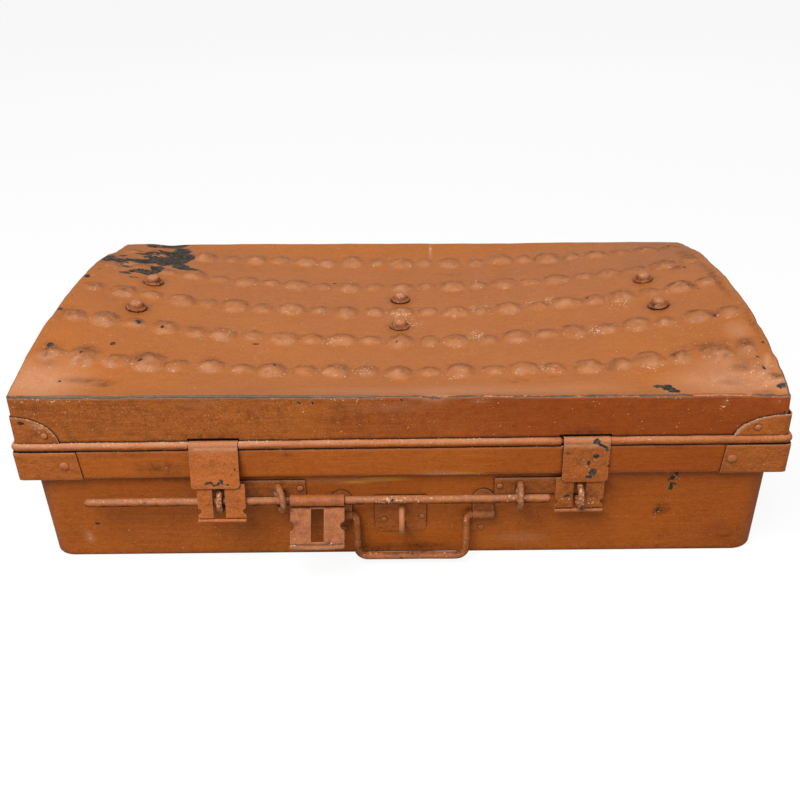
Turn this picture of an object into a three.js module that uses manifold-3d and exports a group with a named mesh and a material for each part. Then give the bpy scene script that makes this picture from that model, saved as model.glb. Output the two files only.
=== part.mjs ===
// A painted tin travelling trunk: a lidded sheet-metal case with a sliding lock bar,
// two strap hasps, a swinging padlock plate and a wire carrying handle on the front.
// Millimetres. X runs along the length to the right, Y to the rear, Z up.
// The origin is at the middle of the underside, on the surface that the trunk stands on.

import * as THREE from 'three';
import { mergeVertices } from 'three/addons/utils/BufferGeometryUtils.js';
import Module from 'manifold-3d';

const wasm = await Module();
wasm.setup();

// Driving dimensions of the case
const lidLength = 716;
const lidDepth = 406;
const rimTopHeight = 130.2;
const lidRise = 53.8;
const lipRise = 15.8;
const sheet = 1.2;
const cornerRadius = 30;

// Clearances
const seamGap = 0.3;
const seatGap = 0.3;
const lipGap = 2;
const overrun = 2;

// Lid walls and the wire rolled into their lower edge
const wallFlare = 1.2;
const beadRadius = 4;
const beadRise = 0.5;
const beadStandOff = 1.2;
const wireRadius = 2;
const wireSeatDepth = 4;

// Lid top: arched at its ends, sagged in the middle, with rows of raised bumps
const archRise = 29;
const sagDepth = 13;
const archPower = 3;
const sagPower = 6;
const bumpsPerRow = 23;
const bumpMargin = 7.25;
const rowCount = 5;
const rowMargin = 20.5;
const rowOffset = 9;
const largeBumpHeight = 5;
const smallBumpHeight = 3;
const bumpReach = 13;

// Studs on the lid and the straps that they fasten inside
const studShares = [-0.7877, 0, 0.771];
const washerRadius = 10.5;
const washerHeight = 2.4;
const domeRadius = 7.5;
const domeHeight = 6;
const domeProfileShares = [[1, 0], [0.8, 0.6], [0.42, 0.92], [0, 1]];
const shankRadius = 2.5;
const clenchRadius = 5;
const clenchHeight = 1.4;
const strapWidth = 18;
const strapThickness = 2;
const strapEnd = 14;

// Body
const bodyTaper = 2;
const rimDrop = 30.4;
const rimStandOff = 6.3;

// Corner plates and rivets
const plate = 1;
const rimPlateLength = 58;
const rimPlateRivetInset = 12;
const rimRivetRadius = 4.8;
const lidPlateLength = 48;
const lidPlateHeight = 26;
const lidPlateRivetInset = 33;
const lidPlateRivetRise = 8;
const smallRivetRadius = 3.2;
const rivetHeightShare = 0.34;
const rivetInsetShare = 1.5;
const rivetProfileShares = [[1, 0.4], [0.6, 0.85], [0, 1]];

// Hasps
const haspShare = 0.4832;
const haspWidth = 45.5;
const haspSheet = 1.4;
const haspNotch = 48.5;
const haspNotchRise = 2.8;
const outerLeafAboveBar = 12.2;
const innerLeafBelowBar = 19.4;
const innerLeafShift = 4.5;
const haspSlotWidth = 12;
const haspSlotAboveBar = 17.2;
const haspSlotEnd = 2.6;
const haspSideNotchRadius = 3;
const haspSideNotchBelowBar = 8.8;
const haspLipRadius = 1.9;
const leftHaspTilt = 14.5;
const rightHaspTilt = 2;

// Lock bar, its rings and the padlock plate that is rolled round it
const barRadius = 4;
const barLengthShare = 0.6223;
const barCentreShare = -0.2221;
const barStandOff = 16;
const barDrop = 52.7;
const ringShare = 0.3184;
const ringRadius = 11.5;
const ringWireRadius = 2.4;
const ringTurn = 19;
const lockPlateFromRing = 35.5;
const lockPlateWidth = 51.5;
const lockPlateLength = 45;
const lockSlotWidth = 12.3;
const lockSlotTop = 9;
const lockSlotBottom = 40;
const lockNotchRadius = 4;
const lockNotchDrop = 26;
const lockPlateTilt = 38;

// Side staples and the plates behind them
const stapleShare = 0.4777;
const stapleWireRadius = 2.5;
const stapleHalfHeight = 9;
const stapleReach = 25.6;
const staplePlateClipGap = 0.5;
const staplePlateOuterReach = 19;
const staplePlateBelowBar = 4.5;
const staplePlateAboveBar = 13.9;
const staplePlateSheet = 1.4;

// Centre plate and staple
const centrePlateWidth = 50;
const centrePlateHeight = 43;
const centrePlateBelowBar = 5.5;
const centrePlateCorner = 8;
const centreRivetSpread = 18.5;
const centreRivetBelowBar = 30.5;
const centreStapleBelowBar = 22.5;
const centreStapleHalfHeight = 11.25;
const centreStapleWireRadius = 2.75;
const centreStapleReach = 28;

// Carrying handle and its clips
const handleWireRadius = 3.5;
const handlePivotBelowBar = 24.5;
const handleCentre = 11.65;
const handleHalfWidth = 52.35;
const handleFootHeight = 7;
const handleTopBend = 5.5;
const handleFootBend = 9;
const handleTilt = 10.5;
const clipWidth = 20;
const clipInner = 6.5;
const clipBelowPivot = 20;
const clipAbovePivot = 31;
const clipSheet = 1.4;
const clipRivetBelowPivot = 11.5;

// Rear hinges
const hingeShare = 0.6006;
const hingeWidth = 40;
const hingeLeafLength = 32;
const hingeRivetSpread = 11;
const hingeRivetDrop = 21;

// Facet counts
const wireSides = 8;
const roundSides = 12;
const bendSteps = 5;

// How close two corners are to count as one
const mergeReach = 1e-4;

// Sizes that follow
const halfLength = lidLength / 2;
const halfDepth = lidDepth / 2;
const bodyHalfLength = halfLength - lipGap;
const bodyHalfDepth = halfDepth - lipGap;
const rimHalfLength = bodyHalfLength + rimStandOff;
const rimHalfDepth = bodyHalfDepth + rimStandOff;
const rimBottomHeight = rimTopHeight - rimDrop;
const lidEdgeHeight = rimTopHeight + lidRise;
const lipTopHeight = rimTopHeight + lipRise;
const beadHeight = rimTopHeight + beadRise + beadRadius;
const beadHalfLength = halfLength + wallFlare + beadStandOff;
const beadHalfDepth = halfDepth + wallFlare + beadStandOff;
const flareSlope = wallFlare / (lidEdgeHeight - beadHeight);
const taperSlope = bodyTaper / lipTopHeight;
const bumpPitch = (lidLength - 2 * bumpMargin) / bumpsPerRow;
const rowPitch = (lidDepth - 2 * rowMargin) / rowCount;
const haspStation = halfLength * haspShare;
const stapleStation = halfLength * stapleShare;
const ringStation = halfLength * ringShare;
const hingeStation = halfLength * hingeShare;
const barLength = lidLength * barLengthShare;
const barCentre = halfLength * barCentreShare;
const barY = -(bodyHalfDepth - bodyTaper / 2 + barStandOff);
const barHeight = rimTopHeight - barDrop;
const barBelowHinge = beadHeight - barHeight;
const outerLeafLength = barBelowHinge - outerLeafAboveBar;
const innerLeafLength = barBelowHinge + innerLeafBelowBar;
const haspSlotTop = barBelowHinge - haspSlotAboveBar;
const haspSideNotchDrop = barBelowHinge + haspSideNotchBelowBar;
const lockPlateCentre = lockPlateFromRing - ringStation;
const handleReach = handleHalfWidth + clipInner + clipWidth;
const staplePlateInner = handleCentre + handleReach + staplePlateClipGap;
const staplePlateOuter = stapleStation + staplePlateOuterReach;
const staplePlateBottom = barHeight - staplePlateBelowBar;
const staplePlateTop = barHeight + staplePlateAboveBar;
const centrePlateTop = barHeight - centrePlateBelowBar;
const centrePlateBottom = centrePlateTop - centrePlateHeight;
const centreRivetHeight = barHeight - centreRivetBelowBar;
const centreStapleHeight = barHeight - centreStapleBelowBar;
const handlePivotHeight = barHeight - handlePivotBelowBar;
const handleDrop = handlePivotHeight - handleFootHeight;
const clipBottom = handlePivotHeight - clipBelowPivot;
const clipTop = handlePivotHeight + clipAbovePivot;
const clipRivetHeight = handlePivotHeight - clipRivetBelowPivot;
const knuckleInner = wireRadius + seatGap;
const knuckleOuter = knuckleInner + haspSheet;
const barRollInner = barRadius + seatGap;
const barRollOuter = barRollInner + haspSheet;
const handleRollInner = handleWireRadius + seatGap;
const handleRollOuter = handleRollInner + clipSheet;

const paint = (color, roughness) => new THREE.MeshStandardMaterial({ color, roughness, metalness: 0 });
const tinPaint = paint('#a8602c', 0.5);
const lidPaint = paint('#b8743f', 0.48);
const ironPaint = paint('#9d5a2b', 0.5);

const radians = (degrees) => THREE.MathUtils.degToRad(degrees);

// Solids, for joining and cutting
function toSolid(geometry) {
  const bare = geometry.clone();
  bare.deleteAttribute('normal');
  bare.deleteAttribute('uv');
  const merged = mergeVertices(bare, mergeReach);
  return new wasm.Manifold(new wasm.Mesh({
    numProp: 3,
    vertProperties: new Float32Array(merged.attributes.position.array),
    triVerts: new Uint32Array(merged.index.array),
  }));
}

function toGeometry(solid) {
  const mesh = solid.getMesh();
  const geometry = new THREE.BufferGeometry();
  geometry.setAttribute('position', new THREE.BufferAttribute(new Float32Array(mesh.vertProperties), 3));
  geometry.setIndex(Array.from(mesh.triVerts));
  geometry.computeVertexNormals();
  return geometry;
}

function join(geometries) {
  const solids = geometries.map(toSolid);
  return toGeometry(solids.reduce((whole, next) => whole.add(next)));
}

function cut(geometry, tools) {
  return toGeometry(tools.map(toSolid).reduce((whole, tool) => whole.subtract(tool), toSolid(geometry)));
}

// Plain forms
function outline(points) {
  return new THREE.Shape(points.map(([across, up]) => new THREE.Vector2(across, up)));
}

function rectangle(left, right, bottom, top) {
  return outline([[left, bottom], [right, bottom], [right, top], [left, top]]);
}

function extrude(shape, depth, curveSegments = bendSteps) {
  return new THREE.ExtrudeGeometry(shape, { depth, bevelEnabled: false, curveSegments });
}

// A plate drawn in X and Z, whose back is at backY and which faces the front
function frontPlate(shape, backY, thickness, curveSegments) {
  return extrude(shape, thickness, curveSegments).rotateX(Math.PI / 2).translate(0, backY, 0);
}

// A plate drawn in Y and Z, from innerX towards +X
function sidePlate(shape, innerX, thickness) {
  return extrude(shape, thickness).rotateY(Math.PI / 2).rotateX(Math.PI / 2).translate(innerX, 0, 0);
}

// Leans a form out of upright: alongX and alongY are the run for each unit of height above level
function lean(geometry, alongX, alongY, level) {
  const shear = new THREE.Matrix4().makeShear(0, 0, 0, 0, alongX, alongY);
  return geometry.translate(0, 0, -level).applyMatrix4(shear).translate(0, 0, level);
}

function rodAlongX(radius, fromX, toX, y, z, sides = roundSides) {
  const rod = new THREE.CylinderGeometry(radius, radius, toX - fromX, sides);
  return rod.rotateZ(Math.PI / 2).translate((fromX + toX) / 2, y, z);
}

function rodAlongY(radius, fromY, toY, x, z, sides = wireSides) {
  const rod = new THREE.CylinderGeometry(radius, radius, toY - fromY, sides);
  return rod.translate(x, (fromY + toY) / 2, z);
}

// A roll of sheet round a rod along X
function rollAlongX(inner, outer, fromX, toX, y, z) {
  const ring = new THREE.Shape().absarc(0, 0, outer, 0, Math.PI * 2);
  ring.holes.push(new THREE.Path().absarc(0, 0, inner, 0, Math.PI * 2));
  return extrude(ring, toX - fromX, roundSides / 2).rotateY(Math.PI / 2).translate(fromX, y, z);
}

// A low round head that stands on Y = seatY and faces the front
function rivetHead(radius, x, seatY, z) {
  const height = radius * rivetHeightShare;
  const profile = [
    new THREE.Vector2(0, -seamGap),
    new THREE.Vector2(radius, -seamGap),
    ...rivetProfileShares.map(([across, up]) => new THREE.Vector2(radius * across, height * up)),
  ];
  return new THREE.LatheGeometry(profile, roundSides).rotateX(Math.PI).translate(x, seatY, z);
}

// A path through chosen points, with one section of the tube at each of them
class WirePath extends THREE.Curve {
  constructor(points) {
    super();
    this.points = points;
  }

  getPoint(share) {
    return this.points[Math.round(share * (this.points.length - 1))].clone();
  }

  getSpacedPoints() {
    return this.points.map((point) => point.clone());
  }

  getTangentAt(share, target = new THREE.Vector3()) {
    const index = Math.round(share * (this.points.length - 1));
    const next = this.points[Math.min(index + 1, this.points.length - 1)];
    const last = this.points[Math.max(index - 1, 0)];
    return target.subVectors(next, last).normalize();
  }
}

function wire(points, radius) {
  const section = new THREE.Shape().absarc(0, 0, radius, 0, Math.PI * 2);
  return new THREE.ExtrudeGeometry(section, {
    steps: points.length - 1,
    curveSegments: wireSides / 2,
    bevelEnabled: false,
    extrudePath: new WirePath(points),
  });
}

// Points round a bend, given its middle and a function that places an angle
function bend(from, to, steps, place) {
  return Array.from({ length: steps + 1 }, (_, index) => place(from + (to - from) * index / steps));
}

const trunk = new THREE.Group();
const lid = new THREE.Group();
trunk.add(lid);

function addPiece(name, geometry, material, parent = trunk) {
  const mesh = new THREE.Mesh(geometry, material);
  mesh.name = name;
  parent.add(mesh);
  return mesh;
}

// Where the front face of the tapering body is at a height
function bodyFaceY(height) {
  return -(bodyHalfDepth - taperSlope * (lipTopHeight - height));
}

// The body's plan at one height, drawn in as it tapers
function endPlan(inset) {
  const centreX = bodyHalfLength - cornerRadius;
  const centreY = bodyHalfDepth - cornerRadius;
  const quarter = (radius, from, to, side) => bend(from, to, bendSteps, (a) => [
    centreX + radius * Math.cos(a), side * centreY + radius * Math.sin(a)]);
  const outer = cornerRadius - inset;
  const inner = outer - sheet;
  return [
    ...quarter(outer, -Math.PI / 2, 0, -1),
    ...quarter(outer, 0, Math.PI / 2, 1),
    ...quarter(inner, Math.PI / 2, 0, 1),
    ...quarter(inner, 0, -Math.PI / 2, -1),
  ];
}

// A closed form between two loops with as many points, the lower one first
function loft(lower, lowerZ, upper, upperZ) {
  const count = lower.length;
  const bottom = lower.map(([x, y]) => [x, y, lowerZ]);
  const top = upper.map(([x, y]) => [x, y, upperZ]);
  const position = [...bottom, ...top].flat();
  const caps = THREE.ShapeUtils.triangulateShape(lower.map(([x, y]) => new THREE.Vector2(x, y)), []);
  const index = [];
  for (const [a, b, c] of caps) {
    index.push(a, c, b, a + count, b + count, c + count);
  }
  for (let here = 0; here < count; here += 1) {
    const next = (here + 1) % count;
    index.push(here, next, next + count, here, next + count, here + count);
  }
  const geometry = new THREE.BufferGeometry();
  geometry.setAttribute('position', new THREE.Float32BufferAttribute(position, 3));
  geometry.setIndex(index);
  return geometry;
}

// Staples, rings and their legs, placed before the sheets that they pass through
function stapleWire(x, height, halfHeight, reach, radius) {
  const rootY = bodyFaceY(height) + sheet + seamGap;
  const tipRadius = halfHeight;
  const bendY = bodyFaceY(height) - reach + radius + tipRadius;
  return wire([
    new THREE.Vector3(x, rootY, height + halfHeight),
    ...bend(Math.PI / 2, -Math.PI / 2, 2 * bendSteps, (a) => new THREE.Vector3(
      x, bendY - tipRadius * Math.cos(a), height + tipRadius * Math.sin(a))),
    new THREE.Vector3(x, rootY, height - halfHeight),
  ], radius);
}

function legHoles(x, height, halfHeight, radius) {
  const face = bodyFaceY(height);
  return [halfHeight, -halfHeight].map((rise) => rodAlongY(
    radius + seatGap, face - 2 * overrun - sheet, face + 2 * overrun + sheet, x, height + rise));
}

const sideLegHoles = (side) => legHoles(
  side * stapleStation, barHeight, stapleHalfHeight, stapleWireRadius);
const centreLegHoles = legHoles(0, centreStapleHeight, centreStapleHalfHeight, centreStapleWireRadius);
const ringHole = (side) => {
  const face = bodyFaceY(barHeight);
  const reach = 2 * overrun;
  return rodAlongY(ringWireRadius + seatGap, face - reach, face + reach, side * ringStation, barHeight);
};

// Body sheets
function bodyWallPanel(halfWidth) {
  const shape = rectangle(-halfWidth, halfWidth, sheet + seamGap, lipTopHeight);
  const panel = frontPlate(shape, -(bodyHalfDepth - sheet), sheet);
  return lean(panel, 0, -taperSlope, lipTopHeight);
}

const wallHalfWidth = bodyHalfLength - cornerRadius - seamGap;
const frontHoles = [
  ...sideLegHoles(-1), ...sideLegHoles(1), ...centreLegHoles, ringHole(-1), ringHole(1),
];
addPiece('body_front', cut(bodyWallPanel(wallHalfWidth), frontHoles), tinPaint);
addPiece('body_back', bodyWallPanel(wallHalfWidth), tinPaint).rotation.z = Math.PI;

const bottomInset = bodyTaper - taperSlope * sheet;
const lowPlan = endPlan(bodyTaper - taperSlope * (sheet + seamGap));
const endWall = loft(lowPlan, sheet + seamGap, endPlan(0), lipTopHeight);
addPiece('body_right_end', endWall, tinPaint);
addPiece('body_left_end', endWall, tinPaint).rotation.z = Math.PI;

function roundedPlan(halfX, halfY, radius) {
  const plan = new THREE.Shape();
  plan.absarc(halfX - radius, halfY - radius, radius, 0, Math.PI / 2);
  plan.absarc(-halfX + radius, halfY - radius, radius, Math.PI / 2, Math.PI);
  plan.absarc(-halfX + radius, -halfY + radius, radius, Math.PI, -Math.PI / 2);
  plan.absarc(halfX - radius, -halfY + radius, radius, -Math.PI / 2, 0);
  return plan;
}

const bottomPlan = roundedPlan(
  bodyHalfLength - bottomInset, bodyHalfDepth - bottomInset, cornerRadius - bottomInset);
addPiece('body_bottom', extrude(bottomPlan, sheet), tinPaint);

// Rim: four strips with a level ledge and a turned-down face, mitred at the corners
function rimStrip(halfX, halfY) {
  const rimCornerX = halfX + rimStandOff;
  const rimCornerY = halfY + rimStandOff;
  const bodyRadius = cornerRadius + seatGap;
  const centreX = halfX - cornerRadius;
  const centreY = halfY - cornerRadius;
  const arc = (from, to, side) => bend(from, to, bendSteps, (a) => [
    side * (centreX + bodyRadius * Math.cos(a)), -(centreY + bodyRadius * Math.sin(a))]);
  const mitre = seamGap / 2;
  const ledge = outline([
    [-rimCornerX + mitre, -rimCornerY],
    [rimCornerX - mitre, -rimCornerY],
    ...arc(Math.PI / 4 + mitre / bodyRadius, Math.PI / 2, 1),
    ...arc(Math.PI / 2, Math.PI / 4 + mitre / bodyRadius, -1),
  ]);
  const top = extrude(ledge, sheet).translate(0, 0, rimTopHeight - sheet);
  const faceShape = rectangle(
    -rimCornerX + sheet + mitre, rimCornerX - sheet - mitre, rimBottomHeight, rimTopHeight - sheet / 2);
  return join([top, frontPlate(faceShape, -rimCornerY + sheet, sheet)]);
}

const longStrip = rimStrip(bodyHalfLength, bodyHalfDepth);
const shortStrip = rimStrip(bodyHalfDepth, bodyHalfLength);
addPiece('rim_front', longStrip, tinPaint);
addPiece('rim_back', longStrip, tinPaint).rotation.z = Math.PI;
addPiece('rim_right', shortStrip, tinPaint).rotation.z = Math.PI / 2;
addPiece('rim_left', shortStrip, tinPaint).rotation.z = -Math.PI / 2;

// Corner plates: the corner is at the origin, one leg runs along +X and the other along +Y
function foldedCorner(legShape, rivet, slope, level) {
  const front = lean(frontPlate(legShape, -seatGap, plate), 0, -slope, level);
  const side = lean(sidePlate(legShape, -seatGap - plate, plate), -slope, 0, level);
  const seatY = -seatGap - plate - slope * (rivet.height - level);
  const frontHead = rivetHead(rivet.radius, rivet.run, seatY, rivet.height);
  const sideHead = rivetHead(rivet.radius, -rivet.run, seatY, rivet.height).rotateZ(-Math.PI / 2);
  return join([front, side, frontHead, sideHead]);
}

function rimCorner() {
  const leg = rectangle(-seatGap - plate, rimPlateLength, rimBottomHeight, rimTopHeight - seamGap);
  const rivet = {
    radius: rimRivetRadius,
    run: rimPlateLength - rimPlateRivetInset,
    height: (rimBottomHeight + rimTopHeight) / 2,
  };
  return foldedCorner(leg, rivet, 0, rimTopHeight);
}

function lidCorner() {
  const foot = beadHeight + beadRadius + seatGap;
  const leg = outline([
    [-seatGap - plate, foot],
    ...bend(0, Math.PI / 2, bendSteps, (a) => [
      lidPlateLength * Math.cos(a), foot + lidPlateHeight * Math.sin(a)]),
    [-seatGap - plate, foot + lidPlateHeight],
  ]);
  const rivet = { radius: smallRivetRadius, run: lidPlateRivetInset, height: foot + lidPlateRivetRise };
  return foldedCorner(leg, rivet, -flareSlope, lidEdgeHeight);
}

const corners = [
  { name: 'front_left', sideX: -1, sideY: -1, turn: 0 },
  { name: 'front_right', sideX: 1, sideY: -1, turn: Math.PI / 2 },
  { name: 'back_right', sideX: 1, sideY: 1, turn: Math.PI },
  { name: 'back_left', sideX: -1, sideY: 1, turn: -Math.PI / 2 },
];
const rimCornerForm = rimCorner();
const lidCornerForm = lidCorner();
for (const corner of corners) {
  const rimPlate = addPiece(`rim_corner_${corner.name}`, rimCornerForm, ironPaint);
  rimPlate.position.set(corner.sideX * rimHalfLength, corner.sideY * rimHalfDepth, 0);
  rimPlate.rotation.z = corner.turn;
  const lidPlate = addPiece(`lid_corner_${corner.name}`, lidCornerForm, ironPaint, lid);
  lidPlate.position.set(corner.sideX * halfLength, corner.sideY * halfDepth, 0);
  lidPlate.rotation.z = corner.turn;
}

// Lid top
function topHeight(x, y) {
  const along = Math.min(Math.abs(x) / halfLength, 1) ** 2;
  const across = Math.min(Math.abs(y) / halfDepth, 1);
  const arch = archRise * along * (1 - across ** archPower);
  const sag = sagDepth * (1 - along) * (1 - across ** sagPower);
  return lidEdgeHeight + arch - sag;
}

// Places of a number of things in line, at one pitch, about a middle
function placesAbout(middle, count, pitch) {
  return Array.from({ length: count }, (_, index) => middle + (index - (count - 1) / 2) * pitch);
}

const rowPlaces = placesAbout(rowOffset, rowCount, rowPitch);
const bumpPlaces = placesAbout(0, bumpsPerRow, bumpPitch);
const edgeLineShares = [1, 0.91, 0.8];
const edgeLines = edgeLineShares.map((share) => -halfDepth * share);
const depthLines = [
  ...edgeLines,
  ...rowPlaces.flatMap((row) => [row - bumpReach, row, row + bumpReach]),
  ...edgeLines.map((line) => -line).reverse(),
].filter((line, index, all) => index === 0 || line > all[index - 1]);
const lengthLines = [
  -halfLength,
  ...bumpPlaces.flatMap((place) => [place - bumpPitch / 2, place]),
  bumpPlaces[bumpsPerRow - 1] + bumpPitch / 2,
  halfLength,
];

function bumpHeight(x, y) {
  const bump = bumpPlaces.indexOf(x);
  if (bump < 0 || !rowPlaces.includes(y)) {
    return 0;
  }
  return bump % 2 ? largeBumpHeight : smallBumpHeight;
}

function topSheet() {
  const columns = lengthLines.length;
  const rows = depthLines.length;
  const position = [];
  for (const layer of [0, 1]) {
    for (const y of depthLines) {
      for (const x of lengthLines) {
        position.push(x, y, topHeight(x, y) + bumpHeight(x, y) - layer * sheet);
      }
    }
  }
  const at = (layer, row, column) => (layer * rows + row) * columns + column;
  const index = [];
  const quad = (a, b, c, d) => index.push(a, b, c, a, c, d);
  const rim = (row, column, nextRow, nextColumn) => quad(
    at(1, row, column), at(1, nextRow, nextColumn), at(0, nextRow, nextColumn), at(0, row, column));
  const lastRow = rows - 1;
  const lastColumn = columns - 1;
  for (let row = 0; row < lastRow; row += 1) {
    for (let column = 0; column < lastColumn; column += 1) {
      const cell = (layer) => [
        at(layer, row, column),
        at(layer, row, column + 1),
        at(layer, row + 1, column + 1),
        at(layer, row + 1, column),
      ];
      quad(...cell(0));
      const [near, along, across, far] = cell(1);
      quad(near, far, across, along);
    }
    rim(row + 1, 0, row, 0);
    rim(row, lastColumn, row + 1, lastColumn);
  }
  for (let column = 0; column < lastColumn; column += 1) {
    rim(0, column, 0, column + 1);
    rim(lastRow, column + 1, lastRow, column);
  }
  const geometry = new THREE.BufferGeometry();
  geometry.setAttribute('position', new THREE.Float32BufferAttribute(position, 3));
  geometry.setIndex(index);
  return geometry;
}

// Studs in pairs, one on each side of the middle row, each pair through one strap
const studRows = [-rowPitch / 2, rowPitch / 2];

function studForm(seat) {
  const under = -(sheet + seatGap + strapThickness + seatGap);
  const washerTop = seat + washerHeight;
  const profile = [
    [0, under - clenchHeight],
    [clenchRadius, under - clenchHeight],
    [clenchRadius, under],
    [shankRadius, under],
    [shankRadius, seat],
    [washerRadius, seat],
    [washerRadius, seat + washerHeight / 2],
    [domeRadius + washerHeight / 2, washerTop],
    ...domeProfileShares.map(([across, up]) => [domeRadius * across, washerTop + domeHeight * up]),
  ].map(([radius, height]) => new THREE.Vector2(radius, height));
  return new THREE.LatheGeometry(profile, roundSides).rotateX(Math.PI / 2);
}

function strapForm() {
  const half = rowPitch / 2 + strapEnd;
  const plan = rectangle(-strapWidth / 2, strapWidth / 2, -half, half);
  const holes = [-1, 1].map((side) => new THREE.CylinderGeometry(
    shankRadius + seatGap, shankRadius + seatGap, overrun * 2 + strapThickness, wireSides,
  ).rotateX(Math.PI / 2).translate(0, side * rowPitch / 2, 0));
  const bar = extrude(plan, strapThickness).translate(0, 0, -strapThickness - sheet - seatGap);
  return cut(bar, holes.map((hole) => hole.translate(0, 0, -strapThickness)));
}

// The tilt of the sheet at a station, and how low and high it lies over the strap
function stationFit(x) {
  const reach = rowPitch / 2 + strapEnd;
  const rise = topHeight(x + washerRadius, rowOffset) - topHeight(x - washerRadius, rowOffset);
  const slope = rise / (2 * washerRadius);
  const heights = [-washerRadius, 0, washerRadius].flatMap((run) => (
    [-reach, ...studRows, 0, reach].map((y) => topHeight(x + run, rowOffset + y) - slope * run)));
  return { slope, low: Math.min(...heights), high: Math.max(...heights) };
}

const stationNames = ['left', 'centre', 'right'];
const rowNames = ['front', 'rear'];
const strap = strapForm();
const studHoles = [];
const holeDepth = 2 * (2 * overrun) + sheet;
studShares.forEach((share, station) => {
  const x = halfLength * share;
  const fit = stationFit(x);
  const frame = new THREE.Group();
  frame.position.set(x, rowOffset, fit.low);
  frame.rotation.y = -Math.atan(fit.slope);
  lid.add(frame);
  addPiece(`lid_strap_${stationNames[station]}`, strap, ironPaint, frame);
  const stud = studForm(fit.high - fit.low + seatGap);
  studRows.forEach((y, row) => {
    const piece = addPiece(`stud_${stationNames[station]}_${rowNames[row]}`, stud, ironPaint, frame);
    piece.position.y = y;
    piece.updateWorldMatrix(true, false);
    const hole = new THREE.CylinderGeometry(
      shankRadius + seatGap, shankRadius + seatGap, holeDepth, wireSides).rotateX(Math.PI / 2);
    studHoles.push(hole.applyMatrix4(piece.matrixWorld));
  });
});
addPiece('lid_top', cut(topSheet(), studHoles), lidPaint, lid);

// Lid walls with the wire roll along their lower edge, cut away where a strap rolls round the wire
const edgeSlope = (lidEdgeHeight - topHeight(0, edgeLines[1])) / (edgeLines[1] - edgeLines[0]);
const wallTop = lidEdgeHeight - sheet - seamGap - edgeSlope * sheet;

function notchTools(stations) {
  return stations.flatMap((x) => {
    const left = x - haspNotch / 2;
    const right = x + haspNotch / 2;
    const top = beadHeight + knuckleOuter + haspNotchRise;
    const opening = frontPlate(
      rectangle(left, right, beadHeight - beadRadius - overrun, top), -halfDepth + overrun,
      wallFlare + beadStandOff + beadRadius + 2 * overrun);
    const seat = rodAlongX(
      wireRadius + seatGap, left - wireSeatDepth, right + wireSeatDepth, -beadHalfDepth, beadHeight);
    return [opening, seat];
  });
}

function longLidWall(stations) {
  const foot = halfLength + wallFlare;
  const shape = outline([
    [-foot, beadHeight], [foot, beadHeight], [halfLength, wallTop], [-halfLength, wallTop]]);
  const wall = lean(frontPlate(shape, -(halfDepth - sheet), sheet), 0, flareSlope, lidEdgeHeight);
  const bead = rodAlongX(beadRadius, -beadHalfLength, beadHalfLength, -beadHalfDepth, beadHeight);
  const ends = [-1, 1].map((side) => new THREE.SphereGeometry(beadRadius, roundSides, roundSides / 2)
    .translate(side * beadHalfLength, -beadHalfDepth, beadHeight));
  return cut(join([wall, bead, ...ends]), notchTools(stations));
}

addPiece('lid_front', longLidWall([-haspStation, haspStation]), tinPaint, lid);
addPiece('lid_back', longLidWall([-hingeStation, hingeStation]), tinPaint, lid).rotation.z = Math.PI;

// An end wall at +X; the other end is turned round, so its arch is drawn the other way about
function lidEndWall(side) {
  const footY = halfDepth + wallFlare - sheet - seamGap;
  const topY = halfDepth - sheet - seamGap;
  const inner = depthLines.map((y) => side * y).filter((y) => Math.abs(y) < topY).sort((a, b) => b - a);
  const under = sheet + 2 * seamGap;
  const edge = (y) => [y, topHeight(halfLength - sheet, y) - under];
  const reach = beadHalfDepth - beadRadius - seamGap;
  const shoulder = beadHeight + beadRadius + seamGap;
  const shape = outline([
    [-footY, shoulder], [-reach, shoulder], [-reach, beadHeight],
    [reach, beadHeight], [reach, shoulder], [footY, shoulder],
    edge(topY), ...inner.map(edge), edge(-topY),
  ]);
  const wall = lean(sidePlate(shape, halfLength - sheet, sheet), -flareSlope, 0, lidEdgeHeight);
  const bead = rodAlongY(beadRadius, -reach, reach, beadHalfLength, beadHeight, roundSides);
  return join([wall, bead]);
}

addPiece('lid_right_end', lidEndWall(1), tinPaint, lid);
addPiece('lid_left_end', lidEndWall(-1), tinPaint, lid).rotation.z = Math.PI;

// Wires that show where the roll is cut away
function rollWire(x, y) {
  const half = haspNotch / 2 + wireSeatDepth - seamGap;
  return rodAlongX(wireRadius, x - half, x + half, y, beadHeight);
}

for (const [side, name] of [[-1, 'left'], [1, 'right']]) {
  addPiece(`${name}_hasp_wire`, rollWire(side * haspStation, -beadHalfDepth), ironPaint, lid);
  addPiece(`${name}_hinge_wire`, rollWire(side * hingeStation, beadHalfDepth), ironPaint, lid);
}

// A plate with a slot and two side notches, hanging from its top edge at Z = 0
function notchedPlate(left, right, length, slot, notch) {
  const edge = new THREE.Shape();
  edge.moveTo(left, 0);
  edge.lineTo(left, -notch.drop + notch.radius);
  edge.absarc(left, -notch.drop, notch.radius, Math.PI / 2, -Math.PI / 2, true);
  edge.lineTo(left, -length);
  edge.lineTo(right, -length);
  edge.lineTo(right, -notch.drop - notch.radius);
  edge.absarc(right, -notch.drop, notch.radius, -Math.PI / 2, Math.PI / 2, true);
  edge.lineTo(right, 0);
  const half = slot.width / 2;
  edge.holes.push(rectangle(slot.centre - half, slot.centre + half, -slot.bottom, -slot.top));
  return edge;
}

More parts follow.
